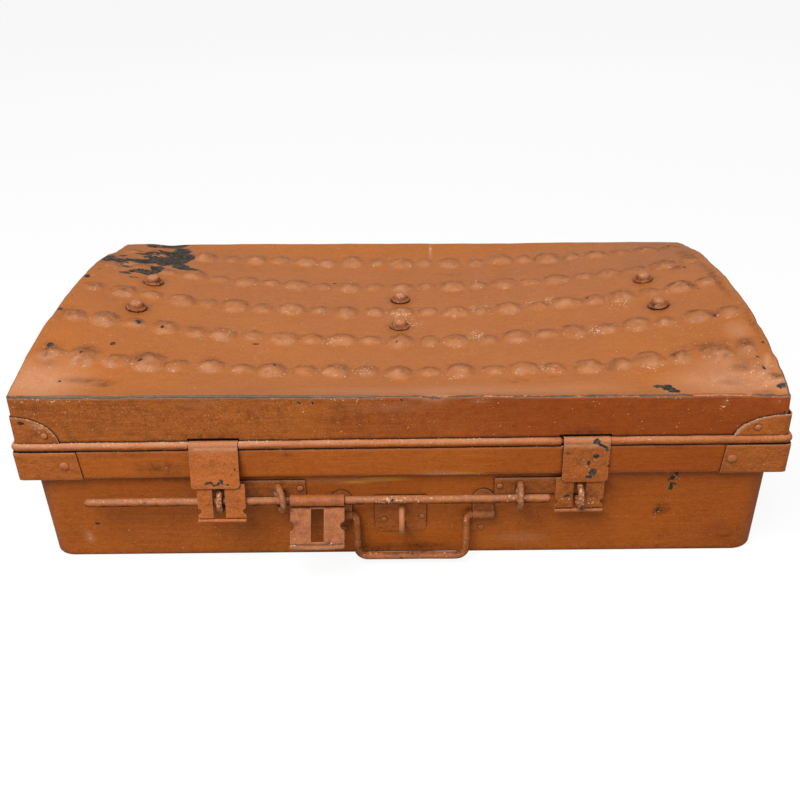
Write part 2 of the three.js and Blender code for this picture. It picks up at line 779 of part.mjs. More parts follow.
// Hasps: a doubled strap rolled round the wire, the rear leaf longer and stepped towards the middle
function haspForm(side) {
  const half = haspWidth / 2;
  const shift = -side * innerLeafShift;
  const roll = rollAlongX(knuckleInner, knuckleOuter, -half, half, 0, 0);
  const longLeaf = notchedPlate(
    shift - half, shift + half, innerLeafLength,
    { centre: -side * (haspStation - stapleStation), width: haspSlotWidth,
      top: haspSlotTop, bottom: innerLeafLength - haspSlotEnd },
    { radius: haspSideNotchRadius, drop: haspSideNotchDrop });
  const inner = frontPlate(longLeaf, -knuckleInner, haspSheet);
  const trimReach = half + innerLeafShift + overrun;
  const trim = rectangle(-trimReach, trimReach, -knuckleOuter, overrun);
  const innerBelow = cut(inner, [frontPlate(trim, overrun, 2 * knuckleOuter + overrun)]);
  const neck = frontPlate(rectangle(-half, half, -knuckleOuter - overrun, 0), -knuckleInner, haspSheet);
  const outer = frontPlate(
    rectangle(-half, half, -outerLeafLength, 0), -knuckleOuter + seamGap, haspSheet + seamGap);
  const lip = rodAlongX(
    haspLipRadius, shift - half, shift + half, -knuckleOuter - haspLipRadius / 2, -innerLeafLength);
  return join([roll, neck, innerBelow, outer, lip]);
}

for (const [side, name, tilt] of [[-1, 'left', leftHaspTilt], [1, 'right', rightHaspTilt]]) {
  const hasp = addPiece(`${name}_hasp`, haspForm(side), ironPaint, lid);
  hasp.position.set(side * haspStation, -beadHalfDepth, beadHeight);
  hasp.rotation.x = -radians(tilt);
}

// Hinge straps on the rear, rolled round the lid's wire and riveted to the rim
function hingeStrap() {
  const half = hingeWidth / 2;
  const roll = rollAlongX(knuckleInner, knuckleOuter, -half, half, 0, 0);
  const leaf = frontPlate(rectangle(-half, half, -hingeLeafLength, 0), -knuckleInner, haspSheet);
  const heads = [-1, 1].map((side) => rivetHead(
    smallRivetRadius, side * hingeRivetSpread, -knuckleOuter, -hingeRivetDrop));
  return join([roll, leaf, ...heads]);
}

const hinge = hingeStrap();
for (const [side, name] of [[-1, 'left'], [1, 'right']]) {
  const piece = addPiece(`${name}_hinge_strap`, hinge, ironPaint);
  piece.position.set(side * hingeStation, beadHalfDepth, beadHeight);
  piece.rotation.z = Math.PI;
}

// Plates, staples and rings on the front of the body
function staplePlate(side) {
  const backY = bodyFaceY(staplePlateTop) - seatGap;
  const inner = Math.min(side * staplePlateInner, side * staplePlateOuter);
  const outer = Math.max(side * staplePlateInner, side * staplePlateOuter);
  const shape = rectangle(inner, outer, staplePlateBottom, staplePlateTop);
  const height = (staplePlateBottom + staplePlateTop) / 2;
  const inset = smallRivetRadius * rivetInsetShare;
  const heads = [staplePlateInner + inset, staplePlateOuter - inset].map((run) => rivetHead(
    smallRivetRadius, side * run, backY - staplePlateSheet, height));
  const form = join([frontPlate(shape, backY, staplePlateSheet), ...heads]);
  return cut(form, [...sideLegHoles(side), ringHole(side)]);
}

function guideRing() {
  const ring = new THREE.TorusGeometry(ringRadius, ringWireRadius, wireSides, 2 * wireSides)
    .rotateY(Math.PI / 2)
    .rotateZ(radians(ringTurn))
    .translate(0, barY, barHeight);
  const root = bodyFaceY(barHeight) + sheet + seamGap;
  const shank = rodAlongY(ringWireRadius, barY + ringRadius, root, 0, barHeight);
  return join([ring, shank]);
}

const ringForm = guideRing();
for (const [side, name] of [[-1, 'left'], [1, 'right']]) {
  addPiece(`${name}_staple_plate`, staplePlate(side), ironPaint);
  addPiece(`${name}_staple`, stapleWire(
    side * stapleStation, barHeight, stapleHalfHeight, stapleReach, stapleWireRadius), ironPaint);
  addPiece(`${name}_guide_ring`, ringForm, ironPaint).position.x = side * ringStation;
}

function centrePlate() {
  const half = centrePlateWidth / 2;
  const corner = centrePlateCorner;
  const shape = new THREE.Shape();
  shape.moveTo(-half, centrePlateTop);
  shape.lineTo(-half, centrePlateBottom + corner);
  shape.absarc(-half + corner, centrePlateBottom + corner, corner, Math.PI, -Math.PI / 2);
  shape.absarc(half - corner, centrePlateBottom + corner, corner, -Math.PI / 2, 0);
  shape.lineTo(half, centrePlateTop);
  const backY = bodyFaceY(centrePlateTop) - seatGap;
  const heads = [-1, 1].map((side) => rivetHead(
    smallRivetRadius, side * centreRivetSpread, backY - staplePlateSheet, centreRivetHeight));
  return cut(join([frontPlate(shape, backY, staplePlateSheet), ...heads]), centreLegHoles);
}

addPiece('centre_plate', centrePlate(), ironPaint);
addPiece('centre_staple', stapleWire(
  0, centreStapleHeight, centreStapleHalfHeight, centreStapleReach, centreStapleWireRadius), ironPaint);

// Lock bar with rounded ends
function barForm() {
  const half = barLength / 2;
  const cap = (side) => bend(0, Math.PI / 2, 2, (a) => new THREE.Vector2(
    barRadius * Math.sin(a), side * (half - barRadius + barRadius * Math.cos(a))));
  const profile = [...cap(-1), ...cap(1).reverse()];
  return new THREE.LatheGeometry(profile, roundSides).rotateZ(-Math.PI / 2);
}

addPiece('lock_bar', barForm(), ironPaint).position.set(barCentre, barY, barHeight);

// Padlock plate, rolled round the bar
function lockPlateForm() {
  const half = lockPlateWidth / 2;
  const roll = rollAlongX(barRollInner, barRollOuter, -half, half, 0, 0);
  const shape = notchedPlate(
    -half, half, lockPlateLength,
    { centre: 0, width: lockSlotWidth, top: lockSlotTop, bottom: lockSlotBottom },
    { radius: lockNotchRadius, drop: lockNotchDrop });
  const leaf = frontPlate(shape, -barRollInner, haspSheet);
  const lip = rodAlongX(haspLipRadius, -half, half, -barRollOuter - haspLipRadius / 2, -lockPlateLength);
  return join([roll, leaf, lip]);
}

const lockPlate = addPiece('lock_plate', lockPlateForm(), ironPaint);
lockPlate.position.set(lockPlateCentre, barY, barHeight);
lockPlate.rotation.x = -radians(lockPlateTilt);

// Carrying handle: a wire bail whose ends turn outwards into two riveted clips
const clipFaceY = bodyFaceY(clipTop) - seatGap - clipSheet;
const handlePivotY = clipFaceY - handleRollOuter + clipSheet / 2;

function handleForm() {
  const topCorner = (side) => bend(0, Math.PI / 2, bendSteps, (a) => new THREE.Vector3(
    side * (handleHalfWidth + handleTopBend * (1 - Math.sin(a))), 0, -handleTopBend * (1 - Math.cos(a))));
  const footCorner = (side) => bend(Math.PI / 2, 0, bendSteps, (a) => new THREE.Vector3(
    side * (handleHalfWidth - handleFootBend * (1 - Math.sin(a))),
    0,
    handleFootBend * (1 - Math.cos(a)) - handleDrop));
  return wire([
    new THREE.Vector3(-handleReach, 0, 0),
    ...topCorner(-1),
    ...footCorner(-1),
    ...footCorner(1).reverse(),
    ...topCorner(1).reverse(),
    new THREE.Vector3(handleReach, 0, 0),
  ], handleWireRadius);
}

const handle = addPiece('carry_handle', handleForm(), ironPaint);
handle.position.set(handleCentre, handlePivotY, handlePivotHeight);
handle.rotation.x = -radians(handleTilt);

function handleClip() {
  const half = clipWidth / 2;
  const shape = new THREE.Shape();
  shape.moveTo(-half, clipBottom);
  shape.lineTo(half, clipBottom);
  shape.absarc(0, clipTop - half, half, 0, Math.PI);
  const backY = clipFaceY + clipSheet;
  return join([
    cut(frontPlate(shape, backY, clipSheet), [
      rodAlongX(handleRollInner, -half - overrun, half + overrun, handlePivotY, handlePivotHeight)]),
    rollAlongX(handleRollInner, handleRollOuter, -half, half, handlePivotY, handlePivotHeight),
    rivetHead(smallRivetRadius, 0, clipFaceY, clipRivetHeight),
  ]);
}

const clip = handleClip();
for (const [side, name] of [[-1, 'left'], [1, 'right']]) {
  const place = handleCentre + side * (handleReach - clipWidth / 2);
  addPiece(`${name}_handle_clip`, clip, ironPaint).position.x = place;
}

export default trunk;
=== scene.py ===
import math

import bmesh
import bpy
import numpy as np
from mathutils import Matrix, Vector, noise


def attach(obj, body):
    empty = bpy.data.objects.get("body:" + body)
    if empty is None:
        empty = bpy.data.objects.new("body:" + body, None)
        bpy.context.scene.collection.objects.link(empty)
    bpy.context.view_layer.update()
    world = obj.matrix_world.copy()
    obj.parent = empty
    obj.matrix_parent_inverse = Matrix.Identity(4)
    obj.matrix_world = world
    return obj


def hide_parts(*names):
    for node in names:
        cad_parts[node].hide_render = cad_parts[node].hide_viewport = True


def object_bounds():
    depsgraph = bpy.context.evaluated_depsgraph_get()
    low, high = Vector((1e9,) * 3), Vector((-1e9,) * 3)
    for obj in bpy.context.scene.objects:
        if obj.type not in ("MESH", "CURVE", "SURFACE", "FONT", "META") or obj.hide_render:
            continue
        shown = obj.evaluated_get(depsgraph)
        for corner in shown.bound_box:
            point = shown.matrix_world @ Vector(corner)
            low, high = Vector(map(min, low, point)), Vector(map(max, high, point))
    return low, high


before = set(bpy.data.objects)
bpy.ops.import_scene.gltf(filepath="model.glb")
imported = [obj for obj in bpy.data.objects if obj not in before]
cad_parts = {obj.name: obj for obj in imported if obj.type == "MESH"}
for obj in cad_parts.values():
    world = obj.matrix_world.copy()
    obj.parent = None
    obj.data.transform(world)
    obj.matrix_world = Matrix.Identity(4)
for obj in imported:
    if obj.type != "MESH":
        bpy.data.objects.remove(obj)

cadLow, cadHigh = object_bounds()
mm = 0.001
quarterTurn = math.pi / 2

# places that several pieces share, in millimetres
trunk = {
    "lidHalfLength": 358, "lidHalfDepth": 203, "lidEdge": 184,
    "beadX": 360.4, "beadY": 205.4, "beadZ": 134.7,
    "wallHalfLength": 356, "wallHalfDepth": 201, "lipTop": 146, "taper": 2,
    "bandHalfLength": 362.3, "bandHalfDepth": 207.3, "bandTop": 130.2, "bandFoot": 99.8,
    "hasp": 173, "staple": 171, "ring": 114, "hinge": 215, "barY": -216, "barZ": 77.5, "handle": 11.65,
}
bothSides = (("left", -1), ("right", 1))


def toLinear(hexColour):
    parts = [int(hexColour[k:k + 2], 16) / 255 for k in (1, 3, 5)]
    return (*[c / 12.92 if c <= 0.04045 else ((c + 0.055) / 1.055) ** 2.4 for c in parts], 1)


# adds a node; inputs are values or sockets to link, by name or number
def addNode(tree, kind, inputs=None, **settings):
    node = tree.nodes.new(kind)
    for name, value in settings.items():
        setattr(node, name, value)
    for key, value in (inputs or {}).items():
        if isinstance(value, bpy.types.NodeSocket):
            tree.links.new(value, node.inputs[key])
        else:
            node.inputs[key].default_value = value
    return node


# an emptied node tree of a new material or world
def emptyTree(owner):
    owner.use_nodes = True
    owner.node_tree.nodes.clear()
    return owner.node_tree


def addObject(name, data):
    thing = bpy.data.objects.new(name, data)
    bpy.context.collection.objects.link(thing)
    return thing


# how far the front or rear wall stands from the middle at a height in millimetres
def wallAt(height):
    return trunk["wallHalfDepth"] - trunk["taper"] * (trunk["lipTop"] - height) / trunk["lipTop"]


# camera, with the photograph's perspective
def makeCamera():
    pitch, yaw, roll = (math.radians(studio[k]) for k in ("pitch", "yaw", "roll"))
    forward = Vector((math.sin(yaw) * math.cos(pitch), math.cos(yaw) * math.cos(pitch), -math.sin(pitch)))
    level = Vector((math.cos(yaw), -math.sin(yaw), 0))
    upright = level.cross(forward)
    right = math.cos(roll) * level + math.sin(roll) * upright
    up = -math.sin(roll) * level + math.cos(roll) * upright
    data = bpy.data.cameras.new("photoCamera")
    data.lens = studio["lens"]
    data.clip_end = 100
    camera = addObject("photoCamera", data)
    camera.matrix_world = Matrix((
        (right.x, up.x, -forward.x, studio["place"][0]),
        (right.y, up.y, -forward.y, studio["place"][1]),
        (right.z, up.z, -forward.z, studio["place"][2]),
        (0, 0, 0, 1)))
    bpy.context.scene.camera = camera


studio = {"lens": 40.36, "place": (0.0173, -0.9111, 0.5805), "pitch": 29.53, "yaw": -1.23, "roll": -1.34}
makeCamera()


# works out named steps: each is a name, an operation and its terms, which are numbers or earlier names
def workOut(tree, known, steps, clamped=()):
    for name, operation, *terms in steps:
        terms = [known.get(term, term) for term in terms]
        if operation == "range":  # value, from low, from high, to low, to high
            keys = ("Value", "From Min", "From Max", "To Min", "To Max")
            node = addNode(tree, "ShaderNodeMapRange", dict(zip(keys, terms)))
        elif operation == "choose":  # switch, then what it gives at 0 and at 1
            node = addNode(tree, "ShaderNodeMix", dict(zip((0, 2, 3), terms)))
        else:
            node = addNode(tree, "ShaderNodeMath", dict(enumerate(terms)), operation=operation,
                           use_clamp=name in clamped)
        known[name] = node.outputs[0]


# painted tin: brush-applied oil enamel over older coats, on sheet steel.
# It gives the eye a satin orange skin with bristle tracks along the length, dirt and painted shade in
# corners, hollows and seams, pale rubbed spots with painted highlights, and chips down to a green-black
# undercoat.
def brushedEnamel(name, look):
    material = bpy.data.materials.new(name)
    tree = emptyTree(material)
    place = addNode(tree, "ShaderNodeTexCoord").outputs["Object"]

    # the piece's own marks, and noise fields by their cells per metre, detail, roughness and distortion
    known = {mark: addNode(tree, "ShaderNodeAttribute", attribute_name=mark).outputs["Fac"]
             for mark in enamelMarks}
    for field, cells, detail, roughness, distortion in (
            ("bristles", look["tracks"], 3, 0.6, 0),  # tracks about 2 mm apart and 50 mm long
            ("clouds", (14, 14, 14), 4, 0.6, 0),  # thicker and thinner paint, 70 mm
            ("mottle", (140, 140, 140), 6, 0.7, 0),  # 7 mm
            ("grit", (800, 800, 800), 2, 0.6, 0),  # 1.2 mm; the real one is finer, but would not show
            ("grains", (420, 420, 420), 1, 0.5, 0),  # dirt, plaster and lost paint, about 1 mm
            ("flakes", look["flakes"], 6, 0.74, 0),  # the edge of a chip
            ("runs", (32, 260, 260), 4, 0.6, 0),  # worn edges lose paint in long thin runs
            ("older", (210, 210, 210), 5, 0.75, 0.6)):  # the coats below
        spread = addNode(tree, "ShaderNodeMapping", {"Vector": place, "Scale": cells}).outputs[0]
        known[field] = addNode(tree, "ShaderNodeTexNoise", {
            "Vector": spread, "Scale": 1.0, "Detail": detail, "Roughness": roughness,
            "Distortion": distortion}).outputs[0]
    # standing edges and hollows, by how much room there is behind or before the surface; the hollow and seam
    # fields darken the colour as painted shade
    for field, reach, samples, inside in (
            ("ridge", look["ridgeReach"], 6, True), ("hollowShade", look["dirtAndShadeReach"], 8, False),
            ("seam", look["dirtAndShadeReach"] / 3, 8, False)):
        known[field] = addNode(tree, "ShaderNodeAmbientOcclusion", {"Distance": reach}, samples=samples,
                               inside=inside, only_local=inside).outputs["AO"]
    workOut(tree, known, (
        ("streaked", "MULTIPLY", "ochre", "bristles"),
        ("ridge", "range", "ridge", 0.95, 0.5, 0, look["ridge"]),
        ("broken", "ADD", "mottle", 0.45),
        ("worn", "ADD", "rub", "ridge"),
        ("worn", "MULTIPLY", "worn", "broken"),
        ("rubbedAndLit", "range", "worn", 0.05, 0.95, 0, 1),
        # dirt and painted shade in hollows and along seams, darkest where the surface has least room before
        # it
        ("hollowShade", "range", "hollowShade", 0.8, 0.3, 0, look["dirt"]),
        ("seam", "range", "seam", 0.93, 0.55, 0, look["seam"]),
        ("patches", "range", "mottle", 0.36, 0.62, 0.25, 1.1),
        ("soil", "ADD", "hollowShade", "grime"),
        ("dirtyAndShaded", "MULTIPLY_ADD", "soil", "patches", "seam"),
        # pale flecks, more of them where the marks say so
        ("more", "MULTIPLY", "fleck", look["fleckShare"]),
        ("more", "MULTIPLY_ADD", "rub", 0.045, "more"),
        ("specks", "ADD", "grains", "more"),
        # chips and worn edges
        ("ragged", "range", "flakes", 0.3, 0.7, 0.3, 1.7),
        ("lost", "MULTIPLY", "chip", "ragged"),
        ("runs", "range", "runs", 0.25, 0.7, 0.25, 1.5),
        ("edge", "MULTIPLY", "edge", "runs"),
        ("lost", "MAXIMUM", "lost", "edge"),
        ("bare", "range", "lost", 0.5, 0.54, 0, 1),
        ("crumbs", "range", "mottle", 0.63, 0.69, 0, 0.7),
        ("pared", "MULTIPLY", "edge", 0.6),
        # satin, duller where it is rubbed, soiled or painted with shade, or chipped
        ("dull", "MAXIMUM", "dirtyAndShaded", "bare"),
        ("dull", "MAXIMUM", "dull", "rubbedAndLit"),
        ("gloss", "range", "dull", 0, 1, look["roughness"], 0.78),
        ("varied", "range", "mottle", 0.3, 0.7, -0.06, 0.06),
        ("gloss", "ADD", "gloss", "varied"),
    ), clamped=("dirtyAndShaded", "pared"))

    # what shows of each colour, one over another: field, from, to, share, colour
    coat = toLinear(look["thin"])
    for field, low, high, share, colour in (
            ("clouds", 0.35, 0.65, 1, "coat"), ("bristles", 0.3, 0.75, look["streaks"], "light"),
            ("grit", 0.5, 0.72, look["grain"], "rubbedAndLit"), ("grit", 0.48, 0.28, look["grain"], "deep"),
            ("mottle", 0.5, 0.74, look["mottle"], "deep"),
            # the next rows lay painted shade (the darker, redder coat towards the right, hollows and seams)
            # and painted sheen and highlight (the paler coat on the lid's top, the rubbed colour)
            ("warm", 0, 1, 1, "warm"), ("faded", 0, 1, 1, "faded"),
            ("streaked", 0.2, 0.6, 0.8, "ochre"), ("rubbedAndLit", 0, 1, 1, "rubbedAndLit"), ("dirtyAndShaded", 0, 1, 1, "soil"),
            ("grains", look["dotsTo"], look["dotsTo"] - 0.025, 0.8, "soil"),
            ("specks", look["fleckFrom"], look["fleckFrom"] + 0.02, 0.75, "plaster"),
            ("lost", 0.4, 0.5, 0.5, "rubbedAndLit")):
        much = addNode(tree, "ShaderNodeMapRange", {
            "Value": known[field], "From Min": low, "From Max": high, "To Max": share}).outputs[0]
        coat = addNode(tree, "ShaderNodeMix", {
            0: much, 6: coat, 7: toLinear(look[colour])}, data_type="RGBA").outputs[2]
    under = addNode(tree, "ShaderNodeValToRGB", {"Fac": known["older"]})
    stops = under.color_ramp.elements
    stops[0].position, stops[1].position = 0.36, 0.66
    stops[0].color, stops[1].color = toLinear(look["under"][0]), toLinear(look["under"][2])
    stops.new(0.5).color = toLinear(look["under"][1])
    under = under.outputs[0]
    # a few turquoise crumbs of the oldest coat, and a greyer undercoat along worn edges
    for field, colour in (("crumbs", "oldest"), ("pared", "pared")):
        under = addNode(tree, "ShaderNodeMix", {
            0: known[field], 6: under, 7: toLinear(look[colour])}, data_type="RGBA").outputs[2]
    coat = addNode(tree, "ShaderNodeMix", {0: known["bare"], 6: coat, 7: under}, data_type="RGBA").outputs[2]

    # relief: tracks, paint skin, grit, and chips that lie lower
    relief = {}
    for field, depth, strength in (
            ("bristles", look["trackDepth"], 1), ("mottle", look["skinDepth"], look["skin"]),
            ("grit", 0.16 * mm, look["skin"]), ("bare", 0.3 * mm, 1)):
        relief = {"Normal": addNode(tree, "ShaderNodeBump", {
            "Height": known[field], "Distance": depth, "Strength": strength, **relief},
            invert=field == "bare").outputs[0]}
    shader = addNode(tree, "ShaderNodeBsdfPrincipled", {
        "Base Color": coat, "Roughness": known["gloss"], "IOR": 1.5, "Specular IOR Level": 0.32, **relief})
    addNode(tree, "ShaderNodeOutputMaterial", {"Surface": shader.outputs[0]})
    return material


# the darker, redder coat towards the right is painted shade; the paler, yellower coat on the lid's top is
# painted sheen and sun-fading; ochre the streaks of an older coat; the rub and grime marks hold wear and
# dirt, and painted highlight and painted shade
enamelMarks = ("warm", "faded", "ochre", "rub", "grime", "fleck", "chip", "edge")
enamelLook = {
    "coat": "#a9580f", "thin": "#914306", "light": "#bd6c20", "deep": "#74380a", "rubbedAndLit": "#c38b67",
    "faded": "#ad621c", "warm": "#943c00", "ochre": "#c98f2c", "soil": "#20110a", "plaster": "#d8b48c",
    "under": ("#14130f", "#382e24", "#5d564b"), "oldest": "#5d8a84", "pared": "#7d695b",
    "grain": 0.24, "tracks": (20, 420, 420), "streaks": 0.55, "mottle": 0.45, "dirt": 0.5, "seam": 0.75,
    "dirtAndShadeReach": 9 * mm, "ridge": 0.0, "ridgeReach": 0.9 * mm, "dotsTo": 0.235, "fleckFrom": 0.765,
    "fleckShare": 0.16, "flakes": (120, 200, 200), "roughness": 0.4, "trackDepth": 0.3 * mm, "skin": 0.7,
    "skinDepth": 0.9 * mm,
}
lidPaint = brushedEnamel("lidBrushedEnamel", {
    **enamelLook, "grain": 0.46, "mottle": 0.6, "skinDepth": 1.2 * mm, "fleckFrom": 0.755})
casePaint = brushedEnamel("caseBrushedEnamel", {
    **enamelLook, "coat": "#ae560b", "thin": "#9d4907", "light": "#b96519", "fleckFrom": 0.795, "ridge": 0.5,
    "mottle": 0.4, "skin": 0.9, "skinDepth": 1.2 * mm, "roughness": 0.37})
fittingsPaint = brushedEnamel("fittingsBrushedEnamel", {
    **enamelLook, "coat": "#ae5814", "thin": "#9a4a0c", "light": "#b96b2e", "tracks": (60, 320, 320),
    "mottle": 0.55, "dirt": 0.42, "seam": 0.8, "dirtAndShadeReach": 7 * mm, "skin": 1.0, "flakes": (200, 260, 260),
    "fleckFrom": 0.785, "grain": 0.36, "ridge": 0.8, "roughness": 0.35, "skinDepth": 1.7 * mm})


# a mesh object from points in millimetres
def makePiece(name, points, faces, material):
    mesh = bpy.data.meshes.new(name)
    mesh.from_pydata((np.asarray(points, float) * mm).tolist(), [], [list(f) for f in faces])
    mesh.materials.append(material)
    return addObject(name, mesh)


# welds, turns the faces outwards and rounds the shading up to a crease angle
def tidyMesh(piece, crease=38, weld=0.00001):
    shape = bmesh.new()
    shape.from_mesh(piece.data)
    bmesh.ops.remove_doubles(shape, verts=shape.verts, dist=weld)
    bmesh.ops.dissolve_degenerate(shape, edges=shape.edges, dist=weld / 10)
    bmesh.ops.recalc_face_normals(shape, faces=shape.faces)
    shape.to_mesh(piece.data)
    shape.free()
    piece.data.polygons.foreach_set("use_smooth", [True] * len(piece.data.polygons))
    piece.data.set_sharp_from_angle(angle=math.radians(crease))
    piece.data.update()
    return piece


# the evaluated result of a piece's modifiers as its plain mesh
def settle(piece):
    evaluated = piece.evaluated_get(bpy.context.evaluated_depsgraph_get())
    mesh = bpy.data.meshes.new_from_object(evaluated)
    piece.modifiers.clear()
    old = piece.data
    piece.data = mesh
    bpy.data.meshes.remove(old)
    mesh.name = piece.name
    return piece


# gives a sheet its thickness inwards, then softens its edges
def thicken(piece, thickness, inwards=True, soften=0.25):
    solid = piece.modifiers.new("sheet", "SOLIDIFY")
    solid.thickness = thickness * mm
    solid.offset = -1 if inwards else 1
    if soften:
        edge = piece.modifiers.new("edges", "BEVEL")
        edge.width = soften * mm
        edge.segments = 2
        edge.limit_method = "ANGLE"
        edge.angle_limit = math.radians(50)
    return tidyMesh(settle(piece))


# turns a sheet's faces so that most look one way
def orient(piece, way):
    shape = bmesh.new()
    shape.from_mesh(piece.data)
    shape.normal_update()
    total = sum((f.normal * f.calc_area() for f in shape.faces), Vector())
    if total.dot(Vector(way)) < 0:
        bmesh.ops.reverse_faces(shape, faces=shape.faces)
    shape.to_mesh(piece.data)
    shape.free()
    return piece


# a sheet of fittings from its mesh: which way most of it faces, its thickness and its softened edges
def makeSheet(name, mesh, way, thickness, inwards=True, soften=0.3):
    return thicken(orient(makePiece(name, *mesh, fittingsPaint), way), thickness, inwards, soften)


def gridFaces(rows, columns, wrap=False, skip=None):
    faces = []
    for row in range(rows - 1):
        for column in range(columns if wrap else columns - 1):
            if skip and skip(row, column):
                continue
            after = (column + 1) % columns
            faces.append((row * columns + column, row * columns + after,
                          (row + 1) * columns + after, (row + 1) * columns + column))
    return faces


# the two end faces of a tube of rings
def endFaces(rings, columns):
    last = (rings - 1) * columns
    return [tuple(range(columns - 1, -1, -1)), tuple(range(last, last + columns))]


# smooth noise at points in millimetres, about -1 to 1
def ripple(points, size, seed):
    return np.array([noise.noise(Vector(p) / size + Vector((seed, 2 * seed, 3 * seed))) for p in points])


# the mesh's points in millimetres
def pointsOf(piece):
    places = np.empty(len(piece.data.vertices) * 3)
    piece.data.vertices.foreach_get("co", places)
    return places.reshape(-1, 3) / mm


def setPoints(piece, places):
    piece.data.vertices.foreach_set("co", (np.asarray(places) * mm).ravel())
    piece.data.update()


def normalsOf(piece):
    normals = np.empty(len(piece.data.vertices) * 3)
    piece.data.vertices.foreach_get("normal", normals)
    return normals.reshape(-1, 3)


def fieldOf(piece, name):
    values = np.empty(len(piece.data.vertices))
    piece.data.attributes[name].data.foreach_get("value", values)
    return values


# paints marks: each is a level, a list of spots or (level, spots); a spot is (x, y, z, radius or three
# radii, strength), in millimetres
def paint(piece, **marks):
    places = pointsOf(piece)
    for name, mark in marks.items():
        if isinstance(mark, list):
            mark = (0.0, mark)
        level, spots = mark if isinstance(mark, tuple) else (mark, [])
        values = np.zeros(len(places)) + level
        for x, y, z, radius, strength in spots:
            away = np.linalg.norm((places - (x, y, z)) / radius, axis=1)
            values = np.maximum(values, strength * np.clip(1.35 - away, 0, 1))
        layer = piece.data.attributes.get(name) or piece.data.attributes.new(name, "FLOAT", "POINT")
        layer.data.foreach_set("value", values)


# spots along a line, for paint
def stroke(points, radius, strength, step=1.5):
    return [(*place, radius, strength) for place in refine(points, step)]


# moves points as dents say: (x, y, z, three radii, move); hold gives how freely each point moves
def dent(places, dents, sharpness, hold):
    for x, y, z, radii, move in dents:
        away = np.linalg.norm((places - (x, y, z)) / radii, axis=1)
        push = np.exp(-away ** 2 * sharpness) * hold(places)
        places += push[:, None] * np.array(move)


# seats a finished piece on its body and hides the solids that it stands for; the name of its paint is given
# but not used
def fitTo(piece, bodyName, slotName, *nodes):
    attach(piece, bodyName)
    if nodes:
        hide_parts(*nodes)
    return piece


# a path with rounded corners
def filletPath(points, radius, steps=7):
    points = [Vector(p) for p in points]
    path = [points[0]]
    for before, corner, after in zip(points, points[1:], points[2:]):
        back, ahead = (before - corner).normalized(), (after - corner).normalized()
        half = back.angle(ahead) / 2
        middle = corner + (back + ahead).normalized() * (radius / math.sin(half))
        start = corner + back * (radius / math.tan(half))
        end = corner + ahead * (radius / math.tan(half))
        first, last = start - middle, end - middle
        path += [middle + first.slerp(last, k / steps).normalized() * radius for k in range(steps + 1)]
    path.append(points[-1])
    return [tuple(p) for p in path]


# a path with more points, no more than a step apart
def refine(points, step):
    path = [np.array(points[0], float)]
    for a, b in zip(points, points[1:]):
        a, b = np.array(a, float), np.array(b, float)
        count = max(1, int(np.linalg.norm(b - a) / step + 0.5))
        path += [a + (b - a) * k / count for k in range(1, count + 1)]
    return np.array(path)


# a round wire along a path that lies in a plane, with rounded ends
def wireMesh(points, radius, plane, sides=16, knock=0.0, seed=1):
    path = np.array(points, float)
    plane = np.array(plane, float) / np.linalg.norm(plane)
    tangent = np.gradient(path, axis=0)
    tangent /= np.linalg.norm(tangent, axis=1)[:, None]
    side = np.cross(tangent, plane)
    side /= np.linalg.norm(side, axis=1)[:, None]
    if knock:
        path = path + side * (knock * ripple(path, 28, seed))[:, None]
        path = path + plane * (knock * ripple(path, 22, seed + 5))[:, None]
    angles = np.linspace(0, 2 * math.pi, sides, endpoint=False)
    caps = [(math.sin(a), math.cos(a)) for a in (0.25, 0.55, 0.9, 1.2)]
    rings = []
    for share, out in reversed(caps):
        rings.append((path[0] - tangent[0] * radius * share, side[0], radius * out))
    for here, across in zip(path, side):
        rings.append((here, across, radius))
    for share, out in caps:
        rings.append((path[-1] + tangent[-1] * radius * share, side[-1], radius * out))
    places = []
    for middle, across, wide in rings:
        for angle in angles:
            places.append(middle + wide * (math.cos(angle) * across + math.sin(angle) * plane))
    return places, gridFaces(len(rings), sides, wrap=True) + endFaces(len(rings), sides)


# rounded rectangle loops, one above another; each loop is halfX, halfY, corner radii, z
def loopStack(loops, longSteps, shortSteps, cornerSteps, cap=False, ring=False):
    places = []
    for halfX, halfY, radii, z in loops:
        radii = radii if isinstance(radii, (tuple, list)) else (radii,) * 4
        signs = ((-1, -1), (1, -1), (1, 1), (-1, 1))
        arcs = []
        for k, ((sideX, sideY), radius) in enumerate(zip(signs, radii)):
            start = math.pi + k * quarterTurn
            arcs.append([(sideX * (halfX - radius) + radius * math.cos(start + quarterTurn * s / cornerSteps),
                          sideY * (halfY - radius) + radius * math.sin(start + quarterTurn * s / cornerSteps))
                         for s in range(cornerSteps + 1)])
        for k in range(4):
            steps = longSteps if k % 2 == 0 else shortSteps
            a, b = arcs[k][-1], arcs[(k + 1) % 4][0]
            loop = arcs[k] + [(a[0] + (b[0] - a[0]) * s / steps, a[1] + (b[1] - a[1]) * s / steps)
                              for s in range(1, steps)]
            places += [(x, y, z) for x, y in loop]
    count = 2 * (longSteps + shortSteps) + 4 * cornerSteps
    faces = gridFaces(len(loops), count, wrap=True)
    if ring:
        last = (len(loops) - 1) * count
        faces += [(last + c, last + (c + 1) % count, (c + 1) % count, c) for c in range(count)]
    if cap:
        faces += endFaces(len(loops), count)
    return places, faces


